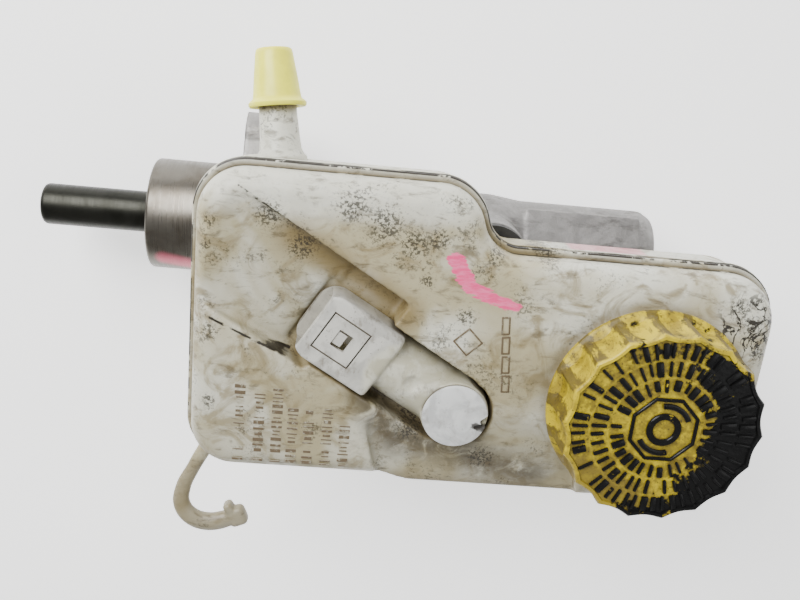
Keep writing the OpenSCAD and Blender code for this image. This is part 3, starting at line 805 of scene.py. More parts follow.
@dataclass(frozen=True)
class CastMetal(Finish):
    """Sand-textured cast aluminium with oily grime and painted shade in its corners."""

    body: Colour = (0.33, 0.32, 0.31)

    def build(self) -> bpy.types.Material:
        """Grainy light grey, with grime and painted shade in the corners."""
        s = Sheet(self.title())
        grain = s.noise(0.9, 6, 0.7)
        cloud = s.noise(10, 4, 0.6, twist=0.8)
        base = s.mix(s.band(cloud, 0.35, 0.65), self.body, tuple(c * 0.72 for c in self.body))
        # Grime and painted shade in the corners.
        base = s.mix(s.sum("MULTIPLY", s.hollow(1.6), 0.85), base, (0.03, 0.026, 0.022))
        smear = s.band(s.noise(6, 6, 0.7, stretch=(2.5, 1, 1), shift=6), 0.50, 0.68)
        base = s.mix(s.sum("MULTIPLY", smear, 0.65), base, (0.06, 0.052, 0.045))
        # Grime and painted shade in wider hollows.
        base = s.mix(s.sum("MULTIPLY", s.hollow(6), 0.55), base, (0.05, 0.043, 0.036))
        pits = s.band(grain, 0.62, 0.72)
        base = s.mix(s.sum("MULTIPLY", pits, 0.55), base, (0.10, 0.095, 0.09))
        normal = s.bump(grain, 0.12, 0.8, s.bump(cloud, 0.25, 0.6))
        return s.shade(
            Base_Color=base, Metallic=0.75, Roughness=s.band(grain, 0.3, 0.7, 0.42, 0.62),
            Normal=normal)


@dataclass(frozen=True)
class TurnedMetal(Finish):
    """Lathe-turned metal with fine rings across the bore axis."""

    body: Colour = (0.155, 0.143, 0.122)
    tarnish: Colour = (0.105, 0.090, 0.070)
    low: float = 0.26
    high: float = 0.40
    rings: float = 0.03
    blush: Colour | None = None

    def build(self) -> bpy.types.Material:
        """Fine rings, soft tarnish, painted shade in the corners and an optional blush of marking
        paint.
        """
        s = Sheet(self.title())
        rings = s.noise(0.25, 3, 0.6, stretch=(1, 60, 60))
        cloud = s.noise(12, 4, 0.6, twist=0.5)
        base = s.mix(s.band(cloud, 0.38, 0.7), self.body, self.tarnish)
        base = s.mix(s.sum("MULTIPLY", rings, 0.18), base, tuple(c * 0.5 for c in self.body))
        # Painted shade in the corners.
        base = s.mix(s.sum("MULTIPLY", s.hollow(1.5), 0.6), base, (0.04, 0.035, 0.03))
        if self.blush:
            mark = s.stroke((-25, -12), (-13, -14.5), 1.2, 2.6)
            base = s.mix(s.sum("MULTIPLY", mark, 0.55), base, self.blush)
        return s.shade(
            Base_Color=base, Metallic=0.9, Roughness=s.band(rings, 0.3, 0.7, self.low, self.high),
            Normal=s.bump(rings, self.rings, 0.7))


@dataclass(frozen=True)
class PlainMetal(Finish):
    """Drawn, pressed or plated metal of a small inner piece."""

    body: Colour = (0.5, 0.5, 0.5)
    low: float = 0.25
    high: float = 0.42

    def build(self) -> bpy.types.Material:
        """Cloudy plating with painted shade in the corners and fine scratches."""
        s = Sheet(self.title())
        cloud = s.noise(4, 4, 0.6)
        scratch = s.noise(0.3, 3, 0.6, stretch=(14, 1, 1))
        base = s.mix(s.band(cloud, 0.35, 0.7), self.body, tuple(c * 0.68 for c in self.body))
        # Painted shade in the corners.
        base = s.mix(s.sum("MULTIPLY", s.hollow(1.2), 0.5), base, (0.05, 0.045, 0.04))
        return s.shade(
            Base_Color=base, Metallic=1.0, Roughness=s.band(scratch, 0.3, 0.7, self.low, self.high),
            Normal=s.bump(scratch, 0.02, 0.6))


@dataclass(frozen=True)
class PlainPlastic(Finish):
    """Rubber or plastic of a small inner piece."""

    body: Colour = (0.03, 0.03, 0.03)
    low: float = 0.5
    high: float = 0.7

    def build(self) -> bpy.types.Material:
        """Slightly mottled, with a fine moulded grain."""
        s = Sheet(self.title())
        cloud = s.noise(5, 4, 0.6)
        grain = s.noise(0.4, 4, 0.6)
        base = s.mix(s.band(cloud, 0.35, 0.7), self.body, tuple(c * 0.7 for c in self.body))
        base = s.mix(s.band(grain, 0.66, 0.8), base, tuple(min(1, c * 1.6) for c in self.body))
        return s.shade(
            Base_Color=base, Roughness=s.band(cloud, 0.3, 0.7, self.low, self.high),
            Normal=s.bump(grain, 0.04))


@dataclass(frozen=True)
class Glass(Finish):
    """Green-tinted glass of the reed switch."""

    def build(self) -> bpy.types.Material:
        """Clear glass with faint ripples."""
        s = Sheet(self.title())
        ripple = s.noise(1.5, 3, 0.5)
        tint = s.mix(ripple, (0.70, 0.92, 0.78), (0.62, 0.86, 0.72))
        return s.shade(Base_Color=tint, Roughness=0.06, IOR=1.5, Transmission_Weight=0.9,
                       Normal=s.bump(ripple, 0.02))


NATURAL = NaturalPlastic("natural_plastic")
WHITE = WhitePlastic("white_plastic")
END_WHITE = WhitePlastic("end_disc_plastic", body=(0.66, 0.67, 0.66), amount=0.45, creamy=False)
CAP = CapPlastic("cap_plastic")
CAP_MARKS = CapPlastic("cap_marks", black_raised=True)
PLUG = SoftPlastic("plug_plastic")
CASTING = CastMetal("cast_aluminium")
SPIGOT = TurnedMetal("turned_aluminium", blush=(0.70, 0.12, 0.20))
STEM = TurnedMetal("turned_dark_steel", body=(0.030, 0.030, 0.025), tarnish=(0.018, 0.018, 0.014),
                   low=0.3, high=0.45, rings=0.02)
SPRING = PlainMetal("spring_steel", body=(0.33, 0.33, 0.35))
ZINC = PlainMetal("zinc_steel", body=(0.58, 0.57, 0.54))
BRASS = PlainMetal("brass", body=(0.76, 0.58, 0.26))
TINNED = PlainMetal("tinned_brass", body=(0.74, 0.68, 0.50))
ANODISED = PlainMetal("piston_aluminium", body=(0.70, 0.70, 0.69))
RUBBER = PlainPlastic("black_rubber")
GUIDE = PlainPlastic("guide_plastic", body=(0.72, 0.68, 0.55), low=0.35, high=0.5)
FLOAT = PlainPlastic("float_plastic", body=(0.62, 0.33, 0.10))
FERRITE = PlainPlastic("ferrite", body=(0.07, 0.07, 0.075), low=0.4, high=0.55)
SWITCH = Glass("switch_glass")


# --------------------------------------------------------------------------- outlines


@dataclass(frozen=True)
class Corner:
    """A rounded corner of the reservoir's outline, seen from above."""

    x: float
    y: float
    r: float


SEAM = (
    Corner(-10, 31.7, 17), Corner(76, 31.7, 16), Corner(83, 11.5, 10), Corner(175, 11.5, 18),
    Corner(175, -72, 34), Corner(61.5, -72, 14), Corner(53, -69, 14), Corner(-10, -69, 16),
)


def moved_in(corners: tuple[Corner, ...], inset: float) -> tuple[Corner, ...]:
    """The outline at a distance inside another.

    Args:
        corners: an outline that runs clockwise seen from above.
        inset: how far inside.
    Returns:
        The new corners, with radii that keep the distance even.
    """
    moved = []
    for i, corner in enumerate(corners):
        before, after = corners[i - 1], corners[(i + 1) % len(corners)]
        u = Vector((corner.x - before.x, corner.y - before.y)).normalized()
        v = Vector((after.x - corner.x, after.y - corner.y)).normalized()
        turn = u.x * v.y - u.y * v.x
        inward = (Vector((u.y, -u.x)) + Vector((v.y, -v.x))) / (1 + u.dot(v))
        radius = corner.r - inset if turn < 0 else corner.r + inset
        moved.append(Corner(
            corner.x + inward.x * inset, corner.y + inward.y * inset, max(radius, 1.0)))
    return tuple(moved)


def prism(name: str, corners: tuple[Corner, ...], low: float, high: float,
          steps: int = 10) -> Thing:
    """An upright slab with rounded corners.

    Args:
        name: the piece's name.
        corners: its outline.
        low: height of its underside.
        high: height of its top.
        steps: segments in each corner.
    Returns:
        The new object.
    """
    Bench.clear()
    bpy.ops.mesh.primitive_circle_add(vertices=len(corners), radius=10, fill_type="NGON")
    obj = Bench.named(name)
    with Bench.editing(obj, Pick.VERTS):
        for i, corner in enumerate(corners):
            bpy.ops.mesh.select_all(action="DESELECT")
            mesh = bmesh.from_edit_mesh(obj.data)
            mesh.verts.ensure_lookup_table()
            here = mesh.verts[i].co.copy()
            Bench.choose(obj, mesh, [mesh.verts[i]])
            bpy.ops.transform.translate(value=(corner.x - here.x, corner.y - here.y, low - here.z))
        bpy.ops.mesh.select_all(action="SELECT")
        bpy.ops.mesh.extrude_region_move(TRANSFORM_OT_translate={"value": (0, 0, high - low)})
    for i, corner in enumerate(corners):
        before, after = corners[i - 1], corners[(i + 1) % len(corners)]
        u = Vector((corner.x - before.x, corner.y - before.y)).normalized()
        v = Vector((after.x - corner.x, after.y - corner.y)).normalized()
        width = corner.r * math.tan(u.angle(v) / 2)
        Bench.bevel(
            obj, lambda a, b: all(math.hypot(p.x - corner.x, p.y - corner.y) < NEAR
                                  for p in (a, b)), width, steps, "ABSOLUTE")
    with Bench.editing(obj, Pick.FACES):
        bpy.ops.mesh.select_all(action="SELECT")
        bpy.ops.mesh.normals_make_consistent(inside=False)
    return obj


def at_sensor(obj: Thing) -> Thing:
    """Moves a form from the sensor's own frame, whose X runs to its mouth, into place."""
    return Bench.place(obj, at=(*BOSS, 0), turn=(0, 0, BOSS_WAY))


# --------------------------------------------------------------------------- sub-assemblies


@dataclass
class Casting:
    """The cast cylinder: flange, barrel, bosses and nose, and its machined spigot."""

    spigot_r: float = 19.3
    spigot_back: float = -30.9
    barrel_r: float = 17.0
    nose_r: float = 15.5
    nose_start: float = 99.0
    nose_end: float = 148.0
    panel_turn: float = 55.0
    flange_t: float = 12.0
    ear_r: float = 8.4
    stud_y: float = 30.0
    bore_r: float = 11.905
    guide_r: float = 15.5
    outlets: tuple = (52.0, 130.0)

    def build(self) -> None:
        """Makes the casting and the spigot."""
        self.casting()
        self.spigot()

    def flange(self) -> Thing:
        """The two-eared flange, as a slab with round ends."""
        ear_r, thick = self.ear_r, self.flange_t
        plate = Bench.along_bore(Bench.turned("flange", [(0.2, 22.2), (0, 23), (thick, 23)]))
        for side in (-1, 1):
            ear = Bench.along_bore(Bench.turned("ear", [(0, ear_r), (thick, ear_r)], 40))
            Bench.place(ear, at=(0, side * self.stud_y, 0))
            web = Bench.block("web", (0, 0, -ear_r), (thick, self.stud_y, ear_r))
            with Bench.editing(web, Pick.VERTS) as mesh:
                Bench.choose(web, mesh, [v for v in mesh.verts if v.co.y < 1])
                bpy.ops.transform.resize(value=(1, 1, 2.35), center_override=(thick / 2, 0, 0))
            if side < 0:
                Bench.place(web, turn=(0, 0, 180))
                Bench.place(web, at=(thick, 0, 0))
            Bench.gather(plate, ear, web)
        return plate

    def casting(self) -> None:
        """The sand-textured body, melted together and then drilled."""
        nose = self.nose_r
        body = Bench.along_bore(Bench.turned("cylinder_casting", [
            (0.2, 21), (self.flange_t, 20.5), (self.flange_t + 7, self.barrel_r),
            (88, self.barrel_r), (self.nose_start, nose), (self.nose_end - 5, nose),
            (self.nose_end - 1.6, nose - 2), (self.nose_end - 0.4, nose - 6)], 72))
        parts = [self.flange()]
        for x in FEEDS:
            parts.append(Bench.place(Bench.turned("boss", [(0, 13), (25.8, 13)]), at=(x, 0, 0)))
        for x in self.outlets:
            boss = Bench.turned("outlet", [(0, 10.2), (12, 9.4), (25.8, 9)])
            parts.append(Bench.place(boss, at=(x, 0, 0), turn=(90, 0, 0)))
        parts.append(Bench.block("lug", (47, -4, 0), (57, 4, 25.8), 1.2))
        parts.append(Bench.block("rib", (10, -3.5, -19.5), (44, 3.5, 0), 1.0))
        panel = Bench.block("panel", (self.nose_start, nose - 7, -7.6),
                            (140.6, nose + 0.3, 7.6), 0.5)
        parts.append(Bench.place(panel, turn=(self.panel_turn, 0, 0)))
        Bench.gather(body, *parts)
        Bench.soften(body, 0.6, 5)
        Bench.gather(body, *self.nose_marks())
        tools = [Bench.along_bore(Bench.turned("bore", [(-1, self.bore_r), (142, self.bore_r)]))]
        for x in FEEDS:
            tools.append(Bench.place(
                Bench.turned("pocket", [(14.5, 9.9), (27, 9.9)]), at=(x, 0, 0)))
            tools.append(Bench.place(Bench.turned("feed", [(8, 2), (15, 2)], 24), at=(x - 3, 0, 0)))
        for x in self.outlets:
            port = Bench.turned("port", self.port_profile(), 48)
            tools.append(Bench.place(port, at=(x, 0, 0), turn=(90, 0, 0)))
        for side in (-1, 1):
            hole = Bench.along_bore(Bench.turned("stud", [(-1, 4.5), (13, 4.5)], 40))
            tools.append(Bench.place(hole, at=(0, side * self.stud_y, 0)))
        pin = Bench.turned("pin", [(-6, 2.06), (6, 2.06)], 32)
        tools.append(Bench.place(pin, at=PIN_AT, turn=(90, 0, 0)))
        Bench.cut(body, *tools)
        Bench.finish(body, "cylinder", CASTING, "cast_aluminium", ("cylinder_body",), 50)

    @staticmethod
    def port_profile() -> list[Flat]:
        """Threaded port from its seat outwards: (height, radius), with a chamfered mouth."""
        points = [(5.0, 1.8), (14.0, 1.8), (14.2, 5.5)]
        for turn in range(10):
            low = 14.7 + turn
            points += [(low, 5.5), (low + 0.5, 6.0), (low + 1.0, 5.5)]
        return points + [(25.2, 5.6), (26.5, 7.0)]

    def nose_marks(self) -> list[Thing]:
        """Plain raised bars on the nose's flat panel."""
        marks = []
        face = self.nose_r + 0.2
        for k, (start, width) in enumerate(((5, 5), (12, 1.2), (15.5, 4), (22, 1.2), (25, 1.2),
                                            (30.5, 3.6), (35.5, 3.0))):
            low = -5.2 + 0.4 * (k % 2)
            rear = self.nose_start + start
            bar = Bench.block("mark", (rear, face - 1, low), (rear + width, face + 0.9, 3), 0.25)
            marks.append(Bench.place(bar, turn=(self.panel_turn, 0, 0)))
        return marks

    def spigot(self) -> None:
        """The machined ring that enters the booster, open to the guide parts inside."""
        back, r = self.spigot_back, self.spigot_r
        ring = Bench.turned("machined_spigot", [
            (-7, self.bore_r + 0.1), (-7.2, self.guide_r), (back + 0.5, self.guide_r),
            (back, self.guide_r + 0.5), (back, r - 1.2), (back + 0.15, r - 0.75),
            (back + 0.5, r - 0.35), (back + 1.2, r), (-4.2, r), (-4.2, r - 1.35),
            (-1.2, r - 1.35), (-1.2, r), (0.6, r), (0.6, self.bore_r + 0.1)], 128)
        Bench.along_bore(Bench.open_through(ring))
        Bench.finish(ring, "cylinder", SPIGOT, "cast_aluminium")


@dataclass
class Pistons:
    """The steel stem and the two coil springs. The pistons themselves stay CAD nodes."""

    stem_r: float = 7.2
    stem_back: float = -69.3
    socket_r: float = 4.0
    shortening: float = 15.4

    def build(self) -> None:
        """Makes the stem and both springs."""
        r, back = self.stem_r, self.stem_back
        stem = Bench.turned("piston_stem_turned", [
            (back + 20, 1.0), (back + 20, self.socket_r), (back + 0.7, self.socket_r),
            (back, self.socket_r + 0.6), (back, r - 1.6), (back + 0.15, r - 1.0),
            (back + 0.55, r - 0.42), (back + 1.1, r - 0.12), (back + 1.7, r), (1.6, r)], 96)
        Bench.along_bore(stem)
        Bench.finish(stem, "primary_piston", STEM, "dark_steel", ("piston_stem",))
        self.spring("primary_spring_coil", 25.15, 53.25, 8.4, 1.2, 4.5, "primary_piston",
                    "primary_spring", "primary_slide", 25.1)
        self.spring("secondary_spring_coil", 95.15, 141.85, 8.8, 1.3, 6.0, "cylinder",
                    "secondary_spring", "secondary_slide", 141.9)

    @staticmethod
    def spring(name: str, low: float, high: float, mean: float, wire: float, turns: float,
               body: str, node: str, joint: str, fixed: float) -> None:
        """A coil spring between two ends along the bore.

        Args:
            name: the piece's name.
            low: its rear end.
            high: its front end.
            mean: radius of the wire's centre line.
            wire: radius of the wire.
            turns: number of turns.
            body: the body that it rides on.
            node: the CAD node that it replaces.
            joint: the joint that shortens it; not used.
            fixed: the end that stays with its body; not used.
        """
        Bench.clear()
        bpy.ops.mesh.primitive_circle_add(vertices=12, radius=wire, fill_type="NOTHING")
        coil = Bench.named(name)
        Bench.place(coil, at=(mean, 0, 0), turn=(90, 0, 0))
        rise = (high - low - 2 * wire) / turns
        Bench.apply(coil, "SCREW", angle=2 * math.pi * turns, screw_offset=rise * turns,
                    steps=int(36 * turns), render_steps=int(36 * turns), axis="Z",
                    use_smooth_shade=True)
        with Bench.editing(coil, Pick.EDGES) as mesh:
            Bench.choose(coil, mesh, [e for e in mesh.edges if e.is_boundary])
            bpy.ops.mesh.edge_face_add()
        Bench.place(coil, at=(0, 0, low + wire))
        Bench.along_bore(coil)
        Bench.finish(coil, body, SPRING, "spring_steel", (node,), 60)
        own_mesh(coil)


@dataclass
class Reservoir:
    """Both moulded shells, their weld rims, the hose port and the hook."""

    floor: float = 28.0
    seam: float = 48.0
    top: float = 60.0
    wall: float = 2.5
    rim: float = 2.2

    def build(self) -> None:
        """Makes every moulded part of the reservoir."""
        self.upper_shell()
        self.lower_shell()
        self.weld_rims()
        self.hose_hook()
        self.raised_marks()

    def hollows(self, grow: float) -> list[Thing]:
        """What the top face is hollowed by: the sensor's seat, the plug's ramp and the shelf."""
        seat = Bench.block("seat", (0, -12.5 - grow, 50 - grow), (56.4, 12.5 + grow, 80), 1.0)
        round_end = Bench.turned("round_end", [(50 - grow, 12 + grow), (80, 12 + grow)], 48)
        ramp = Bench.block("ramp", (0, -20.8 - grow, 0), (72, 15 + grow, 30), 0.8)
        Bench.place(ramp, at=(49, 0, 50 - grow), turn=(0, -12.2, 0))
        pocket = Bench.block("pocket", (33 - grow, -20.8 - grow, 50 - grow), (53, -1, 80), 1.0)
        shelf = prism("shelf", moved_in((
            Corner(46, 0, 6), Corner(113, 0, 8), Corner(126, -60, 4), Corner(62, -60, 4)), -grow),
            0, 20, 6)
        Bench.place(shelf, at=(0, -42, 60 - grow), turn=(12, 0, 0))
        return [*(at_sensor(form) for form in (seat, round_end, ramp, pocket)), shelf]

    def form(self, grow: float) -> Thing:
        """The upper shell's outer form, or with its wall's thickness its inner form."""
        outline = moved_in(SEAM, self.rim + grow)
        low = self.seam + 0.2 if not grow else self.seam - 3
        shell = prism("reservoir_upper", outline, low, self.top - grow)
        top = self.top - grow
        Bench.bevel(shell, lambda a, b: min(a.z, b.z) > top - 0.01, 6.5 - 0.6 * grow, 7)
        return Bench.cut(shell, *self.hollows(grow))

    def upper_shell(self) -> None:
        """The rounded top moulding with its hollows and filler neck."""
        shell = self.form(0)
        neck = Bench.turned("collar", [(57.5, 30), (60.3, 30), (61.2, 28.8), (62.8, 28.2)], 72)
        Bench.place(neck, at=(*CAP_AXIS, 0))
        dome = Bench.turned("round_pad", [(59, 6), (60.3, 5.6), (60.35, 4.6)], 40)
        Bench.place(dome, at=(100, -20, 0))
        Bench.gather(shell, neck, dome)
        Bench.soften(shell, 0.8, 7)
        inner = self.form(self.wall)
        throat = Bench.place(Bench.turned("throat", [(50, 22.5), (70, 22.5)]), at=(*CAP_AXIS, 0))
        well = Bench.place(Bench.turned("well", [(44, 4.3), (56, 4.3)], 32), at=(*BOSS, 0))
        Bench.cut(shell, inner, throat, well)
        Bench.finish(shell, "cylinder", NATURAL, "reservoir_plastic", ("reservoir_upper_shell",), 60)
        self.neck_thread()

    def neck_thread(self) -> None:
        """The filler neck above the shell, with its thread ridge."""
        neck = Bench.turned("threaded_neck", [
            (60, 22.5), (76, 22.5), (76, 25.0), (75.6, 25.5), (61, 25.5), (61, 27.6), (60, 27.6)], 96)
        Bench.open_through(neck)
        ridge = self.thread(25.3, 27.0, 66.5, 1.2)
        Bench.gather(neck, ridge)
        Bench.place(neck, at=(*CAP_AXIS, 0))
        Bench.finish(neck, "cylinder", NATURAL, "reservoir_plastic", ("neck_ring",), 40)

    @staticmethod
    def thread(root: float, crest: float, low: float, turns: float, pitch: float = 6.0) -> Thing:
        """A helical ridge about Z between a root and a crest radius."""
        Bench.clear()
        bpy.ops.mesh.primitive_plane_add(size=1, location=((root + crest) / 2, 0, low))
        ridge = Bench.settle(Bench.named("thread"))
        with Bench.editing(ridge, Pick.VERTS) as mesh:
            Bench.choose(ridge, mesh, list(mesh.verts))
            bpy.ops.transform.rotate(value=math.pi / 2, orient_axis="X",
                                     center_override=((root + crest) / 2, 0, low))
            bpy.ops.transform.resize(value=(abs(crest - root), 1, 2.0),
                                     center_override=((root + crest) / 2, 0, low))
        with Bench.editing(ridge, Pick.VERTS) as mesh:
            Bench.choose(ridge, mesh, [v for v in mesh.verts
                                       if abs(v.co.x - crest) < abs(v.co.x - root)])
            bpy.ops.transform.resize(value=(1, 1, 0.55), center_override=(crest, 0, low))
        with Bench.editing(ridge, Pick.FACES) as mesh:
            Bench.choose(ridge, mesh, list(mesh.faces))
            bpy.ops.mesh.delete(type="ONLY_FACE")
        steps = int(48 * turns)
        Bench.apply(ridge, "SCREW", angle=2 * math.pi * turns, screw_offset=pitch * turns,
                    steps=steps, render_steps=steps, axis="Z")
        with Bench.editing(ridge, Pick.EDGES) as mesh:
            Bench.choose(ridge, mesh, [e for e in mesh.edges if e.is_boundary])
            bpy.ops.mesh.edge_face_add()
        return ridge

    def lower_shell(self) -> None:
        """The tray-shaped lower moulding with stubs, lugs and hose port."""
        outline = moved_in(SEAM, self.rim)
        shell = prism("reservoir_lower", outline, self.floor, self.seam - 0.4)
        Bench.bevel(shell, lambda a, b: max(a.z, b.z) < self.floor + 0.01, 3.2, 5)
        port = Bench.turned("port", [(-4, 8.2), (0.3, 8.0), (1.2, 7.2), (2.6, 6.5), (6, 6.15),
                                     (24.2, 5.3), (24.6, 5.0), (26, 4.7)], 48)
        extras = [Bench.aim(port, PORT_ROOT, Vector(PORT_WAY))]
        for x in FEEDS:
            stub = Bench.turned("stub", [(17.5, 5.2), (18.3, 6), (29, 6)], 40)
            extras.append(Bench.place(stub, at=(x, 0, 0)))
        for y in (-9.2, 5.2):
            extras.append(Bench.block("lug", (47, y, 16.5), (57, y + 4, 29), 1.0))
        Bench.fuse(shell, *extras)
        inner = prism("inner", moved_in(SEAM, self.rim + self.wall), self.floor + self.wall, 60)
        Bench.bevel(inner, lambda a, b: max(a.z, b.z) < 31, 1.5, 3)
        bore = Bench.turned("bore", [(-9, 3.2), (28, 3.2)], 32)
        tools = [inner, Bench.aim(bore, PORT_ROOT, Vector(PORT_WAY))]
        for x in FEEDS:
            tools.append(Bench.place(Bench.turned("feed", [(15, 4), (33, 4)], 32), at=(x, 0, 0)))
        pin = Bench.turned("pin", [(-20, 2.06), (20, 2.06)], 32)
        tools.append(Bench.place(pin, at=PIN_AT, turn=(90, 0, 0)))
        Bench.cut(shell, *tools)
        Bench.finish(shell, "cylinder", NATURAL, "reservoir_plastic",
                     ("reservoir_lower_shell", "hose_nipple"), 40)

    def weld_rims(self) -> None:
        """The two thin rims that were welded together, with a gap between them that the plastic's
        finish blackens with grime and painted shade.
        """
        for name, low, high, inset in (
                ("upper_weld_rim", 48.15, 49.7, 0.2), ("lower_weld_rim", 46.2, 47.75, 0.0)):
            rim = prism(name, moved_in(SEAM, inset), low, high, 14)
            hole = prism("hole", moved_in(SEAM, self.rim + 0.6), low - 1, high + 1, 14)
            Bench.cut(rim, hole)
            Bench.bevel(rim, lambda a, b: abs(a.z - b.z) < 0.01, 0.72, 4)
            Bench.finish(rim, "cylinder", NATURAL, "reservoir_plastic", (), 45)

    def hose_hook(self) -> None:
        """The moulded hook: a bent, flattened bar with a lipped tip."""
        route = ((1, -61, 38, 1.15), (-5, -71, 38, 0.92), (-9.2, -79.5, 38, 0.86),
                 (-12.6, -88, 38, 0.98), (-12.7, -94.5, 38, 1.10), (-9.6, -98.8, 38, 1.18),
                 (-4.4, -100.7, 38, 1.22), (1.2, -99.8, 38, 1.2), (5.4, -97.6, 38, 1.1))
        Bench.clear()
        bpy.ops.curve.primitive_bezier_curve_add(location=(0, 0, 0))
        bar = bpy.context.active_object
        bar.name = "hose_hook_bar"
        spline = bar.data.splines[0]
        spline.bezier_points.add(len(route) - 2)
        for point, (x, y, z, width) in zip(spline.bezier_points, route):
            point.co = (x, y, z)
            point.radius = width
            point.handle_left_type = point.handle_right_type = "AUTO"
        bar.data.dimensions = "3D"
        bar.data.bevel_depth = 2.75
        bar.data.bevel_resolution = 6
        bar.data.resolution_u = 8
        bar.data.use_fill_caps = True
        Bench.hold(bar)
        bpy.ops.object.convert(target="MESH")
        with Bench.editing(bar, Pick.VERTS):
            bpy.ops.mesh.select_all(action="SELECT")
            bpy.ops.transform.resize(value=(1, 1, 0.82), center_override=(0, 0, 38))
        tip = Bench.block("tip", (-3.3, -3.6, -2.6), (3.3, 3.6, 2.6), 1.8, 4)
        Bench.place(tip, at=(6.6, -97.6, 38), turn=(0, 0, 24))
        lip = Bench.block("lip", (-1.6, -1.6, -2.5), (1.6, 2.6, 2.5), 1.1, 3)
        Bench.place(lip, at=(3.9, -94.9, 38), turn=(0, 0, 32))
        Bench.gather(bar, tip, lip)
        Bench.soften(bar, 0.42, 5)
        Bench.finish(bar, "cylinder", NATURAL, "reservoir_plastic", ("hook_arm",))

    def raised_marks(self) -> None:
        """Columns of short plain strokes and pads in place of the moulded wording."""
        random.seed(SEED)
        columns = ((8.0, -66.5, -35.5), (14.2, -66.2, -38), (19.8, -65.9, -36.5), (24.7, -65.5, -43),
                   (29.8, -65.1, -43.5), (35.6, -64.8, -41.5), (41.2, -64.4, -48))
        marks = []
        for x, low, high in columns:
            y = max(low, -63.0)
            while y < high - 1:
                wide = random.choice((0.55, 0.55, 0.9, 1.3))
                if random.random() > 0.13:
                    reach = random.choice((1.7, 1.7, 1.2))
                    marks.append(Bench.block(
                        "stroke", (x - reach, y, 59.7), (x + reach, y + wide, 60.12), 0.12, 1))
                y += wide + random.choice((0.7, 0.8, 1.1))
        pads = ((76.5, -17.2, 3.4, 3.4, 45), (87.5, -11, 1.4, 3.0, 5), (88.3, -17.4, 1.4, 3.0, 5),
                (89.1, -23.8, 1.4, 3.0, 5), (89.9, -30.2, 1.4, 3.0, 5))
        for x, y, half_x, half_y, turn in pads:
            pad = Bench.block("pad", (-half_x, -half_y, 59.6), (half_x, half_y, 60.2), 0.25, 2)
            inner = Bench.block("pad", (-half_x + 0.5, -half_y + 0.5, 59.9),
                                (half_x - 0.5, half_y - 0.5, 61))
            Bench.cut(pad, inner)
            marks.append(Bench.place(pad, at=(x, y, 0), turn=(0, 0, turn)))
        Bench.gather(marks[0], *marks[1:])
        marks[0].name = "moulded_marks"
        Bench.finish(marks[0], "cylinder", MarkedPlastic("marked_plastic"), "reservoir_plastic")


@dataclass(frozen=True)
class MarkedPlastic(Finish):
    """Reservoir plastic whose raised strokes have rubbed off brown."""

    def build(self) -> bpy.types.Material:
        """Natural plastic with worn brown tops."""
        s = Sheet(self.title())
        worn = s.band(s.noise(2.2, 5, 0.7), 0.30, 0.48)
        tops = s.band(s.height(), 59.95, 60.1)
        base = s.mix(s.noise(9), (0.36, 0.34, 0.25), (0.44, 0.42, 0.33))
        base = s.mix(s.sum("MULTIPLY", s.sum("MULTIPLY", worn, tops), 0.9), base,
                     (0.085, 0.052, 0.022))
        return s.shade(Base_Color=base, Roughness=0.5, Normal=s.bump(s.noise(0.8), 0.05))


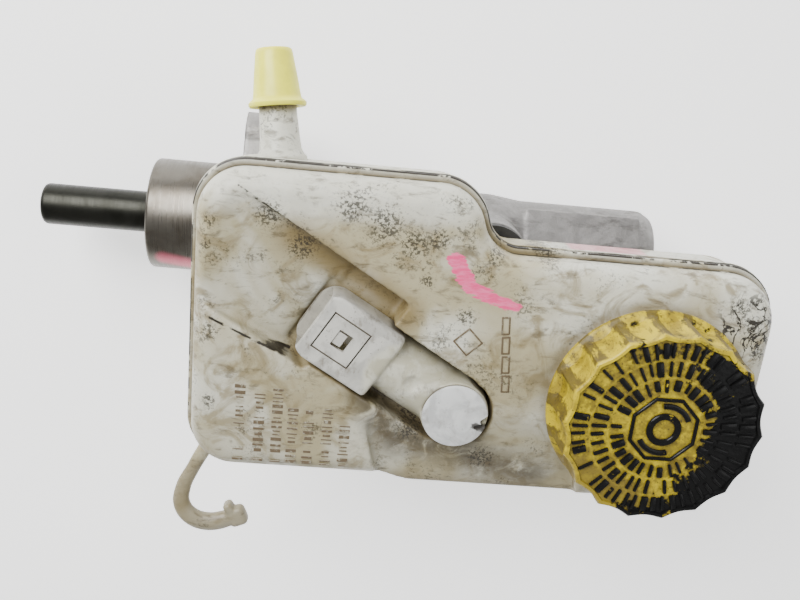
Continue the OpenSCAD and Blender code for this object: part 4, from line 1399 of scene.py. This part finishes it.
@dataclass
class Sensor:
    """The white level-sensor housing: connector, tube, boss and its end disc."""

    half: float = 11.5
    top: float = 62.0
    seat: float = 50.0
    boss_r: float = 10.7

    def build(self) -> None:
        """Makes the housing and the disc."""
        half, top, seat = self.half, self.top, self.seat
        shroud = Bench.block("sensor_shroud", (27, -half, seat), (56, half, top))
        Bench.bevel(shroud, lambda a, b: min(a.x, b.x) > 55.9 and abs(a.y - b.y) < 0.01, 6.5, 8)
        Bench.bevel(shroud, lambda a, b: max(a.y, b.y) < 0.01 - half and min(a.z, b.z) > top - 0.01,
                    3.6, 6)
        Bench.bevel(shroud, lambda a, b: max(a.x, b.x) < 27.01, 1.6, 4)
        tube = Bench.turned("tube", [(0, 10), (29, 10)], 64)
        Bench.place(tube, at=(0, 0, 51.2), turn=(0, 90, 0))
        foot = Bench.block("foot", (0, -10, seat), (28, 10, 52))
        boss = Bench.turned("boss", [(seat, self.boss_r + 0.5), (57.2, self.boss_r + 0.3),
                                     (59.6, self.boss_r + 0.1), (60.6, self.boss_r)], 72)
        below = Bench.block("below", (-20, -20, 30), (70, 20, seat))
        Bench.gather(shroud, tube, foot, boss)
        dimple = Bench.turned("dimple", [(0, 1.5), (1.2, 3.4), (4, 5.5)], 32)
        Bench.soften(shroud, 0.45, 4)
        Bench.place(dimple, at=(17, -1, 59.9))
        Bench.cut(shroud, below, dimple)
        Bench.soften(shroud, 0.45, 3)
        mouth = Bench.block("mouth", (36, -half + 1.7, seat + 1.8), (70, half - 1.7, top - 1.5),
                            0.8)
        slant = Bench.block("slant", (0, -half - 2, -10.6), (14, half + 2, 20))
        Bench.place(slant, at=(53.4, 0, top), turn=(0, -12.5, 0))
        frame_cut = Bench.block("frame", (37.0, -6.7, top - 0.6), (50.5, 6.7, top + 2))
        frame_core = Bench.block("core", (37.5, -6.2, top - 1), (50.0, 6.2, top + 3))
        Bench.cut(frame_cut, frame_core)
        latch = Bench.block("latch", (41.0, -2.9, top - 3), (46.0, 2.9, top + 1), 0.4)
        tongue = Bench.block("tongue", (42.8, -2.2, top - 3.2), (46.6, 2.2, top - 0.35), 0.2)
        Bench.cut(latch, tongue)
        slots = [Bench.block("slot", (31.9, y - 1.45, 54.95), (37, y + 1.45, 55.85))
                 for y in (-3.5, 3.5)]
        counter = Bench.turned("counter", [(57.9, 9), (66, 9)], 64)
        Bench.cut(shroud, mouth, slant, frame_cut, latch, *slots, counter)
        well = Bench.turned("dry_well", [(31, 3.6), (31.6, 4.2), (51, 4.2)], 40)
        inside = Bench.turned("inside", [(32.5, 3), (59, 3)], 32)
        Bench.fuse(shroud, well)
        Bench.cut(shroud, inside)
        at_sensor(shroud)
        Bench.finish(shroud, "cylinder", WHITE, "sensor_plastic", ("sensor_housing",), 40)
        self.end_disc()

    def end_disc(self) -> None:
        """The slightly domed disc that closes the boss, with a melted nick in its edge."""
        disc = Bench.turned("sensor_end_disc", [
            (58, 8.7), (58, 8.8), (60.9, 8.8), (60.95, 10.2), (61.7, 10.45), (62.15, 10.2),
            (62.35, 9.6), (62.4, 6), (62.42, 2)], 96)
        nick = Bench.block("nick", (-3.4, -0.7, 60.9), (2.6, 0.7, 64), 0.3)
        Bench.place(nick, at=(9.6, -2.4, 0), turn=(0, 0, 14))
        nick_b = Bench.block("nick", (-2.0, -1.5, 60.7), (2.4, 1.5, 64), 0.6)
        Bench.place(nick_b, at=(10.2, -0.9, 0), turn=(0, 0, 38))
        Bench.cut(disc, nick, nick_b)
        Bench.place(disc, at=(*BOSS, 0))
        Bench.finish(disc, "cylinder", END_WHITE, "sensor_plastic", ("sensor_end_plug",), 40)


@dataclass
class FillerCap:
    """The fluted screw cap with plain raised bars, and the thread inside it."""

    low: float = 63.4
    top: float = 81.2
    radius: float = 32.0
    per_flute: int = 8
    rings: tuple = ((25.2, 4.7, 54), (19.5, 4.6, 42), (14.0, 4.0, 30))

    def build(self) -> None:
        """Makes the cap's body and its raised marks."""
        self.body()
        self.marks()

    def ridge_profile(self) -> list[tuple[float, float, float]]:
        """(height, ridge radius, flute depth) from the rim upwards."""
        low, top = self.low, self.top - 0.9
        return [(low + 2.6, 31.3, 0.6), (low + 3.4, 31.2, 2.0), (low + 6, 31.1, 2.4),
                (top - 3.5, 30.8, 2.1), (top - 1.1, 30.6, 1.6), (top - 0.3, 30.3, 1.3),
                (top + 0.1, 29.8, 1.15)]

    def body(self) -> None:
        """A ring of vertices grown upwards, each level scooped between its ridges."""
        count = FLUTES * self.per_flute
        Bench.clear()
        bpy.ops.mesh.primitive_circle_add(
            vertices=count, radius=self.radius - 0.6, fill_type="NGON", location=(0, 0, self.low))
        cap = Bench.settle(Bench.named("filler_cap_shell"))
        levels = [(self.low + 0.5, self.radius, 0.0), (self.low + 1.7, self.radius, 0.0),
                  (self.low + 2.3, self.radius - 0.5, 0.0), *self.ridge_profile()]
        height, radius = self.low, self.radius - 0.6
        with Bench.editing(cap, Pick.FACES):
            bpy.ops.mesh.select_all(action="SELECT")
            for next_height, next_radius, _ in levels:
                bpy.ops.mesh.extrude_region_move(
                    TRANSFORM_OT_translate={"value": (0, 0, next_height - height)})
                ratio = next_radius / radius
                bpy.ops.transform.resize(
                    value=(ratio, ratio, 1), center_override=(0, 0, next_height))
                height, radius = next_height, next_radius
        for level, ridge, depth in self.ridge_profile():
            for step in range(1, self.per_flute):
                hollow = depth * math.sin(math.pi * step / self.per_flute)
                self.scoop(cap, level, ridge, hollow, step)
        with Bench.editing(cap, Pick.FACES) as mesh:
            Bench.choose(cap, mesh, [f for f in mesh.faces
                                     if f.calc_center_median().z > self.top - 0.85])
            bpy.ops.mesh.inset(thickness=0.9)
            bpy.ops.mesh.inset(thickness=0.25, depth=-0.7)
        hollow = Bench.turned("hollow", [(self.low - 1, 28.4), (self.low + 0.6, 28.2),
                                         (self.top - 3.2, 28.2)], 96)
        Bench.cut(cap, hollow)
        ridge = Reservoir.thread(28.5, 26.4, 69.5, 1.0)
        Bench.gather(cap, ridge, self.seal_seat())
        Bench.place(cap, at=(*CAP_AXIS, 0))
        Bench.finish(cap, "filler_cap", CAP, "cap_plastic", ("filler_cap", "cap_skirt"), 28)

    def seal_seat(self) -> Thing:
        """The ring under the cap's top that holds the vent disc."""
        ring = Bench.turned("seat", [(76.6, 17), (76.6, 18.5), (79, 18.5), (79, 17)], 64)
        return Bench.open_through(ring)

    def scoop(self, cap: Thing, level: float, ridge: float, depth: float, step: int) -> None:
        """Draws in the vertices at one place of every flute, at one level."""
        with Bench.editing(cap, Pick.VERTS) as mesh:
            chosen = []
            for vert in mesh.verts:
                if abs(vert.co.z - level) > 0.01:
                    continue
                turn = math.degrees(math.atan2(vert.co.y, vert.co.x)) % 360
                place = turn / 360 * FLUTES * self.per_flute
                if round(place) % self.per_flute == step:
                    chosen.append(vert)
            Bench.choose(cap, mesh, chosen)
            ratio = (ridge - depth) / ridge
            bpy.ops.transform.resize(value=(ratio, ratio, 1), center_override=(0, 0, level))

    def marks(self) -> None:
        """Rings of plain bars round an octagon, a ring and two arcs, all raised."""
        random.seed(SEED + 1)
        face = self.top - 1.6
        marks = []
        for radius, tall, count in self.rings:
            for k in range(count):
                turn = 360 * k / count + random.uniform(-1.2, 1.2)
                if random.random() < 0.1:
                    continue
                wide = random.choice((0.42, 0.42, 0.5, 0.8, 1.0))
                short = random.choice((0, 0, 0, 0.7))
                crest = face + random.uniform(0.75, 0.95)
                bar = Bench.block("bar", (radius - tall / 2 + short, -wide, face - 0.3),
                                  (radius + tall / 2, wide, crest), 0.28, 2)
                marks.append(Bench.place(bar, turn=(0, 0, turn)))
        marks.append(self.hoop(10.9, 9.9, 8, 22.5, face))
        marks.append(self.hoop(5.2, 3.3, 48, 0, face))
        for start in (100, 285):
            marks.append(self.arc(7.6, start, 75, face))
        Bench.gather(marks[0], *marks[1:])
        marks[0].name = "cap_raised_marks"
        Bench.place(marks[0], at=(*CAP_AXIS, 0))
        Bench.finish(marks[0], "filler_cap", CAP_MARKS, "cap_plastic")

    @staticmethod
    def hoop(outer: float, inner: float, sides: int, turn: float, face: float) -> Thing:
        """A raised ring or polygon outline."""
        hoop = Bench.turned("hoop", [
            (face - 0.3, outer), (face + 0.6, outer), (face + 0.85, outer - 0.25),
            (face + 0.85, inner + 0.25), (face + 0.6, inner), (face - 0.3, inner)], sides)
        return Bench.place(Bench.open_through(hoop), turn=(0, 0, turn))

    @staticmethod
    def arc(radius: float, start: float, sweep: float, face: float) -> Thing:
        """A raised round-ended arc, spun from a small rounded section."""
        bead = Bench.block("arc", (radius - 0.8, -0.05, face - 0.3),
                           (radius + 0.8, 0.05, face + 0.8))
        with Bench.editing(bead, Pick.FACES) as mesh:
            Bench.choose(bead, mesh, [f for f in mesh.faces if f.normal.y > 0.9])
            bpy.ops.mesh.spin(steps=14, angle=math.radians(sweep), center=(0, 0, 0), axis=(0, 0, 1))
        Bench.bevel(bead, lambda a, b: min(a.z, b.z) > face + 0.8 - NEAR, 0.25, 2)
        return Bench.place(bead, turn=(0, 0, start))


@dataclass
class HosePlug:
    """The yellow transport plug: a hollow cup with a flared brim."""

    brim_r: float = 8.9

    def build(self) -> None:
        """Turns the cup in one piece, inside and out."""
        cup = Bench.turned("hose_port_cup", [
            (26.2, 5.6), (17.8, 5.75), (15.6, 6.6), (15.5, self.brim_r - 0.4),
            (15.9, self.brim_r - 0.05), (16.7, self.brim_r),
            (17.3, 8.4), (17.9, 7.6), (18.6, 7.35), (24, 6.75), (31.4, 5.75), (32.5, 5.5),
            (32.9, 5.0), (33.0, 3.6), (32.5, 3.3), (32.45, 1.2)], 72)
        Bench.aim(cup, PORT_ROOT, Vector(PORT_WAY))
        Bench.finish(cup, "hose_port_plug", PLUG, "plug_plastic", ("hose_port_plug",), 40)


@dataclass
class InnerParts:
    """CAD nodes whose shape is right, which only need their finish."""

    finishes: dict[str, Finish] = field(default_factory=lambda: {
        "flange_o_ring": RUBBER, "retaining_ring": SPRING, "stop_washer": ZINC,
        "stem_seal": RUBBER, "guide_bush": GUIDE, "primary_piston": ANODISED,
        "primary_rear_cup": RUBBER, "primary_backing_ring": GUIDE,
        "primary_pressure_cup": RUBBER, "captive_screw": BRASS, "spring_sleeve": ZINC,
        "secondary_piston": ANODISED, "secondary_rear_cup": RUBBER,
        "secondary_backing_ring": GUIDE, "secondary_pressure_cup": RUBBER,
        "secondary_spring_seat": ZINC, "stop_pin": ZINC, "rear_grommet": RUBBER,
        "front_grommet": RUBBER, "reservoir_pin": ZINC, "reservoir_baffle": NATURAL,
        "reed_switch": SWITCH, "contact_pins": TINNED, "float": FLOAT,
        "float_magnet": FERRITE, "filler_strainer": GUIDE, "cap_seal": RUBBER,
        "cap_vent_disc": GUIDE,
    })

    def build(self) -> None:
        """Dresses each node."""
        for name, finish in self.finishes.items():
            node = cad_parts[name]
            node.data.materials.clear()
            node.data.materials.append(finish.material())
            log.info("%s: CAD node in %s", name, finish.name)


@dataclass
class Studio:
    """Pale floor, soft lights and the camera."""

    camera_at: tuple = (0.0349, 0.0784, 0.3095)
    right: tuple = (0.994, 0.099, 0.044)
    up: tuple = (-0.079, 0.943, -0.323)
    back: tuple = (-0.074, 0.317, 0.945)
    lens: float = 39.5

    def build(self) -> None:
        """Places camera, floor and lights."""
        self.camera()
        self.floor()
        self.lights()

    def camera(self) -> None:
        """A camera that looks down on the reservoir from beyond its hose port."""
        camera = bpy.data.objects.new("camera", bpy.data.cameras.new("camera"))
        bpy.context.scene.collection.objects.link(camera)
        turn = Matrix((self.right, self.up, self.back)).transposed().to_4x4()
        camera.matrix_world = Matrix.Translation(self.camera_at) @ turn
        camera.data.lens = self.lens
        camera.data.sensor_width = 36
        camera.data.clip_start = 0.01
        bpy.context.scene.camera = camera

    def floor(self) -> None:
        """A wide pale floor under the lowest point."""
        Bench.clear()
        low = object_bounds()[0][2]
        bpy.ops.mesh.primitive_plane_add(size=6, location=(0, 0, low - 0.0002))
        floor = Bench.settle(Bench.named("studio_floor"))
        s = Sheet("studio_paper")
        tint = s.mix(s.noise(60, 3), (0.92, 0.92, 0.915), (0.95, 0.95, 0.945))
        floor.data.materials.append(s.shade(
            Base_Color=tint, Roughness=0.9, Emission_Color=tint, Emission_Strength=1.1))
        floor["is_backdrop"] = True

    @staticmethod
    def lights() -> None:
        """A large softbox beyond the hose port, two weaker boxes and an even surround."""
        for name, at, size, power in (
                ("key_box", (-0.42, 0.55, 0.62), 0.6, 17.0), ("fill_box", (0.75, 0.1, 0.8), 0.8, 3.5),
                ("rim_box", (0.1, -0.8, 0.45), 0.6, 1.0)):
            data = bpy.data.lights.new(name, "AREA")
            data.size = size
            data.energy = power
            lamp = bpy.data.objects.new(name, data)
            bpy.context.scene.collection.objects.link(lamp)
            lamp.location = at
            aim = Vector((0.06, -0.02, 0.03)) - Vector(at)
            lamp.rotation_euler = aim.to_track_quat("-Z", "Y").to_euler()
        world = bpy.data.worlds.new("studio_surround")
        world.use_nodes = True
        world.node_tree.nodes["Background"].inputs[0].default_value = (1, 1, 1, 1)
        world.node_tree.nodes["Background"].inputs[1].default_value = 0.36
        bpy.context.scene.world = world


def main() -> None:
    """Builds every sub-assembly in turn."""
    logging.basicConfig(level=logging.INFO, format="%(name)s: %(message)s")
    for assembly in (Casting(), Pistons(), Reservoir(), Sensor(), FillerCap(), HosePlug(),
                     InnerParts(), Studio()):
        assembly.build()
        log.info("%s done", type(assembly).__name__)


if __name__ == "__main__":
    main()
